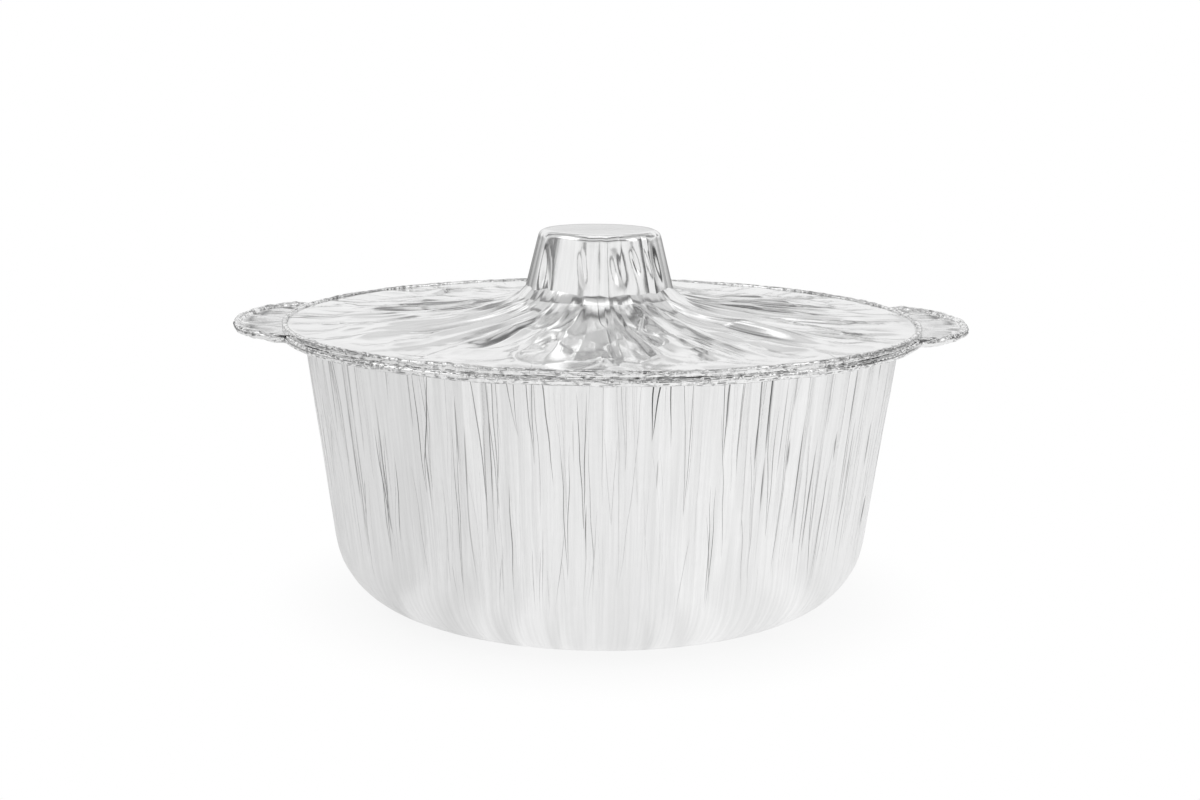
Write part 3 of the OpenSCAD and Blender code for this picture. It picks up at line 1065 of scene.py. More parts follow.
@dataclass
class PotRim:
    """The pot's flange, the webs of its ears and the rolled edge that runs round them."""

    rim_r: float
    flange_z: float
    flange_start_r: float = 122.5
    roll_d: float = 3.3
    foil_t: float = 0.3
    ear_reach: float = 20.0
    ear_half_angle: float = 20.0
    ear_slim: float = 0.4
    ear_back: float = 2.4
    rib_h: float = 0.9
    rib_angle: float = 9.6
    slack: float = 0.25
    web_flat_r: float = 131.5
    rim_turn: tuple[float, float] = (90.0, -168.0)
    ear_turn: tuple[float, float] = (176.0, -140.0)
    stations: int = 2000
    turn_points: int = 17
    inner_points: int = 7
    web_points: int = 9
    # Unevenness, in millimetres or as a share, and the shortest wave and count of waves.
    ear_uneven: tuple[float, int, int] = (0.25, 60, 9)
    rise_uneven: tuple[float, int, int] = (0.12, 90, 9)
    squash_uneven: tuple[float, int, int] = (0.05, 25, 12)
    # How far the crumple reaches: on the roll, more of it round the ears, and on the web.
    crush: float = 0.75
    ear_crush: float = 1.0
    web_crush: float = 0.15
    # Painted shade in broken strokes: point of the section and share of the ring, stroke length,
    # and the web's, which runs where the web meets the roll round the ears.
    lines: tuple[tuple[int, float], ...] = ((3, 0.35), (7, 0.3), (9, 0.2))
    shade_dash_length: int = 5
    web_shade_line: tuple[int, float] = (9, 0.7)
    seed: int = 19

    def build(
        self, crumple: Crumple, rolled: bpy.types.Material, plain: bpy.types.Material
    ) -> bpy.types.Object:
        """Builds the rim from its section, carried round the outline.

        Args:
            crumple: How the rolled edge is crushed.
            rolled: The foil of the crushed edge.
            plain: The foil of the sheet beside it.

        Returns:
            The finished object.
        """
        rng = np.random.default_rng(self.seed)
        a = np.arange(self.stations) * TURN / self.stations
        share = self._ear_share(a)

        def uneven(size: float, length: int, waves: int) -> np.ndarray:
            """A smooth uneven run round the rim."""
            return size * ripple(rng, self.stations, length, waves)

        rim = self.rim_r + self.ear_reach * share + uneven(*self.ear_uneven) * (share > 0)
        outline = ring_points(a, rim, 0 * a)[:, :2]
        along = np.roll(outline, -1, axis=0) - np.roll(outline, 1, axis=0)
        out = np.stack([along[:, 1], -along[:, 0]], axis=1) / np.hypot(*along.T)[:, None]
        eared = np.clip(2 * share, 0, 1)
        start = self.rim_turn[0] + (self.ear_turn[0] - self.rim_turn[0]) * eared
        end = self.rim_turn[1] + (self.ear_turn[1] - self.rim_turn[1]) * eared
        size = self.roll_d / 2 - self.foil_t / 2
        centre = outline - (self.roll_d / 2 + self.slack * (1 + eared))[:, None] * out
        centre_z = self.flange_z - size * np.sin(np.radians(start))
        centre_z = centre_z + uneven(*self.rise_uneven)
        squash = 1.0 + uneven(*self.squash_uneven)

        def turned(radius: float, share_of_turn: float) -> np.ndarray:
            """A ring of points at one place of the roll's turn.

            Args:
                radius: Distance from the middle of the roll.
                share_of_turn: How far round the roll, 0 to 1.

            Returns:
                A point for each station.
            """
            t = np.radians(start + (end - start) * share_of_turn)
            flat = centre + out * (radius * np.cos(t))[:, None]
            return np.column_stack([flat, centre_z + radius * squash * np.sin(t)])

        half = self.foil_t / 2
        outer = [turned(size + half, s) for s in np.linspace(0, 1, self.turn_points)]
        inner = [turned(size - half, s) for s in np.linspace(1, 0, self.inner_points)]
        web_out = turned(size, 0.0)
        web_out_r = np.hypot(web_out[:, 0], web_out[:, 1])
        top, under = [], []
        for s in np.linspace(0, 1, self.web_points)[:-1]:
            r = self.flange_start_r + (web_out_r - self.flange_start_r) * s
            rib = self._ribs(a, r, eared, web_out_r)
            top.append(ring_points(a, r, self.flange_z + half + rib))
            under.append(ring_points(a, r, self.flange_z - half + rib))
        sections = under[::-1] + top + outer + inner
        crushed = (self.crush + self.ear_crush * eared).astype(np.float32)
        marks = [0.0] * len(under) + [self.web_crush] * len(top)
        marks += [crushed] * len(outer) + [0.0] * len(inner)
        # Painted shade: broken dark strokes along the roll, and a line round the ears where web and
        # roll meet.
        creases: list[Any] = [0.0] * len(sections)
        first = len(under) + len(top)
        creases[first - 1] = (shade_dashes(rng, self.stations, *self.web_shade_line) * eared).astype(np.float32)
        for point, cover in self.lines:
            stroke = shade_dashes(rng, self.stations, self.shade_dash_length, cover)
            creases[first + point] = stroke.astype(np.float32)
        made = swept_edge("pot_rim", sections[::-1], marks[::-1], creases[::-1])
        return crumple.apply(made, rolled, plain)

    def _from_ear(self, a: np.ndarray) -> np.ndarray:
        """Angle from the middle of the nearer ear.

        Args:
            a: Angles in degrees.

        Returns:
            Degrees away, 0 at the ear's middle.
        """
        b = a % TURN
        right = np.minimum(np.abs(b - self.ear_back), TURN + self.ear_back - b)
        return np.minimum(right, np.abs(b - 180 + self.ear_back))

    def _ear_share(self, a: np.ndarray) -> np.ndarray:
        """How far an ear stands out at each angle, 0 to 1."""
        inside = np.clip(self._from_ear(a) / self.ear_half_angle, 0, 1)
        return np.where(inside < 1, np.cos(np.radians(90 * inside)) ** self.ear_slim, 0.0)

    def _ribs(
        self, a: np.ndarray, r: np.ndarray, eared: np.ndarray, edge_r: np.ndarray
    ) -> np.ndarray:
        """Height of the ribs pressed into the ears' webs, at each station, for the given radii.

        Args:
            a: Angle of each station.
            r: Radius at each station.
            eared: How far the ear stands out there, 0 to 1.
            edge_r: Radius of the edge there.

        Returns:
            A height for each station.
        """
        away = self._from_ear(a)
        across = np.clip((r - self.web_flat_r) / np.maximum(edge_r - self.web_flat_r, 1.0), 0, 1)
        wave = np.cos(np.radians(away * TURN / self.rib_angle))
        return self.rib_h * wave * eared * np.sin(np.pi * across)


@dataclass(frozen=True)
class Fold:
    """A fold pressed into the lid, steep on one side and gentle on the other.

    Angles are in degrees round the lid at the fold's two ends, and radii are its ends.
    """

    angles: tuple[float, float]
    radii: tuple[float, float]
    height: float
    steep: float = 0.5
    gentle: float = 3.5
    waver: float = 0.0

    def height_at(self, angle: np.ndarray, r: float) -> np.ndarray:
        """Height that the fold adds at one radius, for all angles.

        Args:
            angle: Angles in degrees.
            r: The radius.

        Returns:
            A height for each angle.
        """
        t = (r - self.radii[0]) / (self.radii[1] - self.radii[0])
        if not 0.0 < t < 1.0:
            return np.zeros_like(angle)
        middle = self.angles[0] + (self.angles[1] - self.angles[0]) * t
        middle += math.degrees(self.waver / r) * math.sin(2 * math.pi * t * 1.5)
        away = np.radians(half_turn(angle - middle)) * r
        taper = math.sin(math.pi * t) ** 0.7
        spread_out = np.where(away > 0, self.gentle, self.steep) * (0.35 + 0.65 * taper)
        return self.height * taper * np.exp(-np.abs(away) / spread_out)


NAMED_FOLDS = (
    Fold((-88.0, -89.5), (32.0, 122.0), -0.9, 0.45, 2.2),
    Fold((-86.6, -87.2), (32.0, 112.0), 0.5, 0.5, 2.6),
    Fold((-100.0, -118.0), (32.0, 92.0), 0.9, 0.4, 5.0),
    Fold((-104.0, -110.0), (40.0, 66.0), -0.6, 1.0, 1.4),
    Fold((-123.0, -126.0), (46.0, 108.0), -1.0, 0.5, 3.5),
    Fold((-36.0, -35.0), (32.0, 104.0), 1.1, 0.4, 6.0),
    Fold((-62.0, -63.5), (62.0, 116.0), 1.0, 0.5, 1.4),
    Fold((-66.0, -65.0), (70.0, 114.0), 0.5, 0.5, 2.0),
    Fold((-70.0, -76.0), (32.0, 84.0), 0.8, 0.5, 3.0, 2.4),
    Fold((-74.0, -66.0), (40.0, 78.0), -0.7, 0.8, 2.2, 2.8),
    Fold((-20.0, -17.0), (40.0, 112.0), -0.6, 0.6, 5.0),
    Fold((4.0, 6.0), (36.0, 104.0), 0.7, 0.6, 6.0),
    Fold((-80.0, -72.0), (94.0, 122.0), 0.7, 0.8, 2.8, 1.0),
    Fold((-72.0, -68.0), (96.0, 124.0), -0.8, 0.6, 2.4, 1.0),
    Fold((-92.0, -90.0), (92.0, 124.0), 0.8, 0.5, 2.8, 0.8),
    Fold((-112.0, -106.0), (88.0, 124.0), 0.7, 0.5, 4.0, 0.8),
    Fold((-50.0, -52.0), (80.0, 123.0), -0.7, 0.5, 5.0, 0.8),
    Fold((-160.0, -163.0), (60.0, 116.0), 1.0, 0.4, 5.0),
    Fold((-172.0, -170.0), (70.0, 121.0), -0.9, 0.5, 4.0, 0.6),
    Fold((168.0, 166.0), (44.0, 108.0), 1.0, 0.5, 5.0),
    Fold((22.0, 20.0), (60.0, 118.0), 0.9, 0.4, 5.0),
    Fold((-8.0, -5.0), (64.0, 122.0), 1.0, 0.4, 4.0, 0.6),
    Fold((-28.0, -26.0), (76.0, 122.0), 0.9, 0.5, 4.0, 0.6),
    Fold((-140.0, -138.0), (70.0, 122.0), 0.9, 0.5, 5.0, 0.6),
)


# Dents in the knob's side: bearing in degrees, start and length as shares of the side, half
# width and depth in millimetres.
KNOB_DENTS = (
    (-79.0, 0.04, 0.8, 2.5, -1.0),
    (-36.0, 0.0, 0.85, 2.0, -0.9),
    (-46.0, 0.08, 0.7, 1.2, 0.4),
    (-147.0, 0.08, 0.85, 2.4, -0.8),
    (-108.0, 0.1, 0.7, 1.3, -0.5),
    (-62.0, 0.1, 0.5, 1.1, -0.5),
)


@dataclass
class LidSheet:
    """The lid's pressed-up knob, its gathered and folded disc and its flat border."""

    solid: SolidRings
    edge_r: float
    roll_r: float
    roll_z: float
    rise: float = 11.7
    flare_h: float = 5.8
    flare_len: float = 9.0
    border_w: float = 18.0
    foot_r: float = 31.0
    top_r: float = 25.6
    knob_h: float = 25.4
    knob_round: float = 3.8
    knob_off: float = 1.4
    knob_dents: int = 14
    foil_t: float = 0.3
    ring_steps: tuple[float, ...] = (7.0, 20.0, 44.0)
    columns: int = 720
    disc_rows: int = 66
    disc_spacing: float = 1.2
    border_rows: int = 13
    side_rows: int = 20
    knob_side_share: float = 0.35
    # The sheet ends inside the roll, and its folds calm down before that.
    into_roll: float = 1.1
    calm_w: float = 7.0
    # Pleats round the knob: gaps, drift and reach, and where they begin and end on the disc.
    pleats: int = 40
    pleat_h: float = 1.5
    pleat_gaps: tuple[float, float] = (0.4, 1.7)
    pleat_drift: float = 2.0
    pleat_sizes: tuple[float, float] = (0.25, 1.0)
    pleat_reach: tuple[float, float] = (0.3, 1.3)
    pleat_start: float = 0.12
    pleat_end: float = 0.3
    scallop: float = 0.05
    scallop_fade: float = 0.6
    # Painted shade along a valley: columns compared, pull at which it begins, its range and the
    # darkest.
    crease_span: int = 3
    crease_from: float = 0.55
    crease_range: float = 1.1
    crease_shade_darkest: float = 0.85
    # Shallow bowls: size, stretch, how high one may sit, and where they begin.
    bowls: int = 130
    bowl_r: float = 7.0
    bowl_h: float = 0.55
    bowl_stretch: float = 0.5
    bowl_sits: float = 0.7
    bowl_round: tuple[float, float] = (0.5, 30.0)
    bowl_limit: float = 2.5
    bowl_start: float = 14.0
    # Folds that go down or up, near the knob and out on the border.
    fold_ways: tuple[float, float] = (-0.6, 1.0)
    wild_folds: int = 40
    border_folds: int = 70
    border_from: float = 0.45
    fold_lengths: tuple[float, float] = (14, 50)
    fold_heights: tuple[float, float] = (0.2, 0.8)
    short_fold: tuple[float, float] = (24, 0.6)
    seed: int = 29

    def __post_init__(self) -> None:
        """Works out the places that depend on the driving sizes."""
        self.border_r = self.edge_r - self.border_w
        self.foot_z = self.roll_z + self.rise
        self.top_z = self.foot_z + self.knob_h
        self.side_top = self.top_z - self.knob_round
        self.angle = np.arange(self.columns) * TURN / self.columns

    def flat_height(self, r: float) -> float:
        """Height of the disc's middle surface without its folds.

        Args:
            r: The radius.

        Returns:
            Millimetres above the table.
        """
        slope = min(1.0, max(0.0, (self.border_r - r) / (self.border_r - self.foot_r)))
        flare = self.flare_h * math.exp(-max(0.0, r - self.foot_r) / self.flare_len)
        return self.roll_z + (self.rise - self.flare_h) * slope + flare

    def build(self) -> bpy.types.Object:
        """Builds the lid's sheet.

        Returns:
            The object, with painted shade marked in its valleys.
        """
        rng = np.random.default_rng(self.seed)
        half = self.foil_t / 2
        far = self.roll_r - self.into_roll
        disc = np.linspace(0, 1, self.disc_rows) ** self.disc_spacing
        disc = disc * (self.border_r - self.foot_r) + self.foot_r
        rows = np.concatenate([disc, np.linspace(self.border_r, far, self.border_rows)[1:]])
        lines, offsets = self._read_folds(rows)
        wild = self._wild_folds(rng)
        pleats, bowls = self._pleat_lines(rng), self._bowl_places(rng)
        front, crease = self._knob()
        heights = []
        for k, r in enumerate(rows):
            off = np.interp(self.angle, lines[k], offsets[k], period=TURN)
            off = off + self._facet_height(pleats, r) + self._bowl_height(bowls, r)
            for fold in (*NAMED_FOLDS, *wild):
                off = off + fold.height_at(self.angle, r)
            near_edge = ease(np.array([(far - r) / self.calm_w]))[0]
            off = off * near_edge
            heights.append(off)
            front.append(self._ring(r, self.flat_height(r) + half + off))
            # Painted shade: where the height dips below its neighbours, the valley is darkened in
            # the colour.
            pull = 2 * off - np.roll(off, self.crease_span) - np.roll(off, -self.crease_span)
            dark = (-pull - self.crease_from) / self.crease_range
            crease.append(np.clip(dark, 0, self.crease_shade_darkest))
        back = self._inside(rows, heights)
        crease = [c.astype(np.float32) for c in crease]
        return SheetMesh("lid_sheet", front, back, Side.UP_AND_OUT, crease).build()

    def _pleat_lines(self, rng: np.random.Generator) -> np.ndarray:
        """Uneven pleats round the knob: bearing, drift, height and reach, one row each.

        Args:
            rng: The seeded source of unevenness.

        Returns:
            Four rows with one value for each pleat.
        """
        gaps = rng.uniform(*self.pleat_gaps, self.pleats)
        bearing = np.cumsum(gaps) / gaps.sum() * TURN
        drift = rng.normal(0.0, self.pleat_drift, self.pleats)
        way = rng.choice(self.fold_ways, self.pleats)
        height = way * rng.uniform(*self.pleat_sizes, self.pleats) * self.pleat_h
        reach = rng.uniform(*self.pleat_reach, self.pleats)
        return np.stack([bearing, drift, height, reach])

    def _facet_height(self, pleats: np.ndarray, r: float) -> np.ndarray:
        """Height of the flat and scalloped facets between the pleats at one radius.

        Args:
            pleats: The four rows of _pleat_lines.
            r: The radius.

        Returns:
            A height for each column.
        """
        bearing, drift, height, reach = pleats
        t = (r - self.foot_r) / (self.border_r - self.foot_r)
        begun = float(ease(np.array([t / self.pleat_start]))[0])
        line = bearing + drift * t
        size = height * begun * np.clip((reach - t) / self.pleat_end, 0.0, 1.0)
        off = np.interp(self.angle, line, size, period=TURN)
        turns = np.concatenate([line - TURN, line, line + TURN])
        across = np.interp(self.angle, turns, np.arange(len(turns)))
        gap = np.radians(np.diff(turns)[np.minimum(across.astype(int), len(turns) - 2)]) * r
        inside = across % 1.0
        faded = ease(np.array([(t - self.scallop_fade) / self.scallop_fade]))[0]
        fade = begun * float(1.0 - faded)
        return off - self.scallop * gap * 4 * inside * (1 - inside) * fade

    def _bowl_places(self, rng: np.random.Generator) -> np.ndarray:
        """Middles of the shallow bowls over the disc: bearing, radius and how high each sits.

        Args:
            rng: The seeded source of unevenness.

        Returns:
            Three rows with one value for each bowl.
        """
        bearing = rng.uniform(-180, 180, self.bowls)
        radius = np.sqrt(rng.uniform(self.foot_r**2, self.roll_r**2, self.bowls))
        sits = rng.uniform(0.0, self.bowl_sits * self.bowl_r**2, self.bowls)
        return np.stack([bearing, radius, sits])

    def _bowl_height(self, bowls: np.ndarray, r: float) -> np.ndarray:
        """Height of the bowls at one radius. They meet in crisp ridges, as pressed foil does.

        Args:
            bowls: The three rows of _bowl_places.
            r: The radius.

        Returns:
            A height for each column.
        """
        bearing, radius, sits = bowls
        share, least = self.bowl_round
        around = np.radians(half_turn(self.angle[:, None] - bearing)) * (share * r + least)
        along = (r - radius) * self.bowl_stretch
        near = np.min(around**2 + along**2 + sits, axis=1) / self.bowl_r**2
        begun = float(ease(np.array([(r - self.foot_r) / self.bowl_start]))[0])
        return self.bowl_h * (np.minimum(near, self.bowl_limit) - 1.0) * begun

    def _ring(self, r: Any, z: Any) -> np.ndarray:
        """A ring of points, moved toward -X by its share of the knob's shift.

        Args:
            r: One radius, or one for each column.
            z: One height, or one for each column.

        Returns:
            A point for each column.
        """
        radius = r + 0 * self.angle
        points = ring_points(self.angle, radius, z + 0 * self.angle)
        share = np.clip((self.border_r - radius) / (self.border_r - self.foot_r), 0, 1)
        points[:, 0] -= self.knob_off * share
        return points

    def _read_folds(self, rows: np.ndarray) -> tuple[np.ndarray, np.ndarray]:
        """Runs the solid's folds through its rings, and calms the small gathers near the knob.

        Args:
            rows: Radii of the sheet's rings.

        Returns:
            Bearing and height of each gather, one row for each ring.
        """
        near_r, near_z, most_kept = 0.6, 6, 0.7
        n = self.solid.columns
        regular = np.arange(n) * TURN / n
        knots, bearing, offset = [self.foot_r], [regular], [np.zeros(n)]
        for step in self.ring_steps:
            r = self.foot_r + step
            flat = self.flat_height(r)
            disc_w = self.border_r - self.foot_r
            ring = self.solid.shifted(self.knob_off * (self.border_r - r) / disc_w)
            near = (np.abs(ring.radius - r) < near_r) & (np.abs(ring.height - flat) < near_z)
            found = ring.ring(near, Pick.HIGHEST)
            if len(found) != n:
                raise ValueError(f"lid ring at {r} has {len(found)} corners, not {n}")
            knots.append(r)
            bearing.append(found[:, 0])
            off = found[:, 2] - flat - self.foil_t / 2
            calm = 0.25 * np.roll(off, 1) + 0.5 * off + 0.25 * np.roll(off, -1)
            calm = 0.5 * calm + 0.25 * np.roll(calm, 2) + 0.25 * np.roll(calm, -2)
            keep = most_kept * step / self.ring_steps[-1]
            offset.append(keep * off + (1 - keep) * calm)
        knots.append(self.border_r)
        bearing.append(regular)
        offset.append(np.zeros(n))
        inner = np.clip(rows, self.foot_r, self.border_r)
        bearings = through(knots, np.array(bearing), inner)
        return bearings, through(knots, np.array(offset), inner)

    def _wild_folds(self, rng: np.random.Generator) -> list[Fold]:
        """Smaller folds all round the disc, most of them starting near the knob.

        Args:
            rng: The seeded source of unevenness.

        Returns:
            The folds.
        """
        folds = []
        disc_w = self.border_r - self.foot_r
        short, lower = self.short_fold
        for i in range(self.wild_folds + self.border_folds):
            low = self.border_from if i >= self.wild_folds else 0.0
            start = self.foot_r + (low + (1 - low) * rng.uniform(0, 1) ** 1.3) * disc_w
            end = min(start + rng.uniform(*self.fold_lengths), self.roll_r - 2.0)
            angle = rng.uniform(-180, 180)
            height = rng.choice(self.fold_ways) * rng.uniform(*self.fold_heights)
            folds.append(
                Fold(
                    angles=(angle, angle + rng.normal(0, 7)),
                    radii=(start, end),
                    height=height * (lower if end - start < short else 1.0),
                    steep=rng.uniform(0.35, 0.7),
                    gentle=rng.uniform(2.0, 7.0),
                    waver=rng.uniform(0, 1.2),
                )
            )
        return folds

    def _knob(self) -> tuple[list[np.ndarray], list[np.ndarray]]:
        """The knob's flat top, rounded shoulder and faceted side, down to its foot.

        Returns:
            The rings, and how much painted shade each of their points has, none here.
        """
        shoulder = (86, 8)
        dent_turn = 6
        dent_low, dent_high = (0.0, 0.4, 1.0, -0.6), (0.45, 1.0, 2.6, 0.25)
        foot = self._facets(self.foot_z)
        side = self._facets(self.side_top + (self.foot_z - self.side_top) * self.knob_side_share)
        base_side = self.top_r + (self.foot_r - self.top_r) * self.knob_side_share
        facet_side, facet_foot = side - base_side, foot - self.foot_r
        flat_r = self.top_r - self.knob_round
        front = [self._ring(flat_r * s, self.top_z) for s in (0.2, 0.6, 0.93)]
        for t in np.radians(np.linspace(*shoulder, 9)):
            squareness = 1 - math.sin(t)
            r = self.top_r - self.knob_round * (1 - math.cos(t)) + facet_side * math.cos(t)
            front.append(self._ring(r, self.top_z - self.knob_round * squareness))
        small = np.random.default_rng(self.seed + 1)
        turns = small.uniform(-180, 180, self.knob_dents)
        sizes = small.uniform(dent_low, dent_high, (self.knob_dents, 4))
        dents = [*KNOB_DENTS, *np.column_stack([turns, sizes])]
        top = self.top_z - self.knob_round * (1 - math.sin(math.radians(shoulder[1])))
        for s in np.linspace(0, 1, self.side_rows + 1)[1:-1]:
            r = self.top_r + (self.foot_r - self.top_r) * s
            mixed = facet_side + (facet_foot - facet_side) * max(0.0, s - 0.35) / 0.65
            for angle, first, length, width, depth in dents:
                t = (s - first) / length
                if 0 < t < 1:
                    away = np.radians(half_turn(self.angle - angle - dent_turn * t)) * r
                    hollow = np.exp(-((away / width) ** 2))
                    mixed = mixed + depth * math.sin(math.pi * t) * hollow
            front.append(self._ring(r + mixed, top + (self.foot_z + 0.15 - top) * s))
        return front, [np.zeros(self.columns)] * len(front)

    def _facets(self, z: float) -> np.ndarray:
        """Radius of the knob's outside at one of the solid's rings, for every column.

        Args:
            z: The ring's height.

        Returns:
            A radius for each column.
        """
        moved = self.solid.shifted(self.knob_off)
        near_z, below, above = 0.9, 3, 2
        near = np.abs(moved.height - z) < near_z
        near &= (moved.radius > self.top_r - below) & (moved.radius < self.foot_r + above)
        ring = moved.ring(near, Pick.WIDEST)
        return np.interp(self.angle, ring[:, 0], ring[:, 1] - self.foil_t / 2, period=TURN)

    def _inside(self, rows: np.ndarray, heights: list[np.ndarray]) -> list[np.ndarray]:
        """The underside, with fewer rings.

        Args:
            rows: Radii of the upper face's rings.
            heights: What the folds add at each of them.

        Returns:
            The rings, from the knob outwards.
        """
        t, half = self.foil_t, self.foil_t / 2
        flat_r = self.top_r - self.knob_round
        rings = [self._ring(flat_r * s, self.top_z - t - 0.2) for s in (0.2, 0.9)]
        rings.append(self._ring(self.top_r - 2.2, self.side_top - 0.5))
        for s in (0.4, 0.8):
            r = self.top_r + (self.foot_r - self.top_r) * s - 2.0
            rings.append(self._ring(r, self.side_top + (self.foot_z - self.side_top) * s))
        for k in range(4, len(rows), 6):
            rings.append(self._ring(rows[k], self.flat_height(rows[k]) - half + heights[k]))
        rings.append(self._ring(rows[-1], self.flat_height(rows[-1]) - half))
        return rings


@dataclass
class LidEdge:
    """The lid's rolled edge, flattened where it rests on the pot's."""

    roll_r: float
    roll_z: float
    width: float = 2.4
    height: float = 2.7
    foil_t: float = 0.3
    turn: tuple[float, float] = (190.0, -106.0)
    squareness: float = 0.8
    foot_squareness: float = 0.35
    sag: float = 0.3
    slack: float = 0.3
    stations: int = 1900
    turn_points: int = 19
    inner_points: int = 7
    # Unevenness as a share or in millimetres, and the shortest wave and count of waves.
    wide_uneven: tuple[float, int, int] = (0.06, 30, 12)
    lift_uneven: tuple[float, int, int] = (0.1, 70, 9)
    # Painted shade in broken strokes: point of the section and share of the ring, and the
    # stroke's length.
    lines: tuple[tuple[int, float], ...] = ((4, 0.45), (6, 0.2), (9, 0.35), (13, 0.25))
    shade_dash_length: int = 5
    seed: int = 41

    def build(
        self, crumple: Crumple, rolled: bpy.types.Material, plain: bpy.types.Material
    ) -> bpy.types.Object:
        """Builds the edge from its section, carried round the lid.

        Args:
            crumple: How the rolled edge is crushed.
            rolled: The foil of the crushed edge.
            plain: The foil of the sheet beside it.

        Returns:
            The finished object.
        """
        rng = np.random.default_rng(self.seed)
        a = np.arange(self.stations) * TURN / self.stations
        widening, *wide_waves = self.wide_uneven
        lifting, *lift_waves = self.lift_uneven
        wide = 1.0 + widening * ripple(rng, self.stations, *wide_waves)
        lift = lifting * ripple(rng, self.stations, *lift_waves) - self.sag

        def turned(inset: float, share: float) -> np.ndarray:
            """A ring of points at one place of the roll's turn.

            Args:
                inset: Depth under the roll's outer face.
                share: How far round the roll, 0 to 1.

            Returns:
                A point for each station.
            """
            t = math.radians(self.turn[0] + (self.turn[1] - self.turn[0]) * share)
            power = self.squareness if t > 0 else self.foot_squareness
            across, up = (math.copysign(abs(f(t)) ** power, f(t)) for f in (math.cos, math.sin))
            half = (self.width - self.slack) / 2 - inset
            r = self.roll_r - self.slack / 2 + half * wide * across
            return ring_points(a, r, self.roll_z + lift + (self.height / 2 - inset) * up)

        outer = [turned(0.0, s) for s in np.linspace(0, 1, self.turn_points)]
        inner = [turned(self.foil_t, s) for s in np.linspace(1, 0, self.inner_points)]
        marks = [1.0] * len(outer) + [0.0] * len(inner)
        # Painted shade: broken dark strokes along the roll.
        creases: list[Any] = [0.0] * len(marks)
        for point, cover in self.lines:
            stroke = shade_dashes(rng, self.stations, self.shade_dash_length, cover)
            creases[point] = stroke.astype(np.float32)
        made = swept_edge("lid_edge", (outer + inner)[::-1], marks[::-1], creases[::-1])
        return crumple.apply(made, rolled, plain)


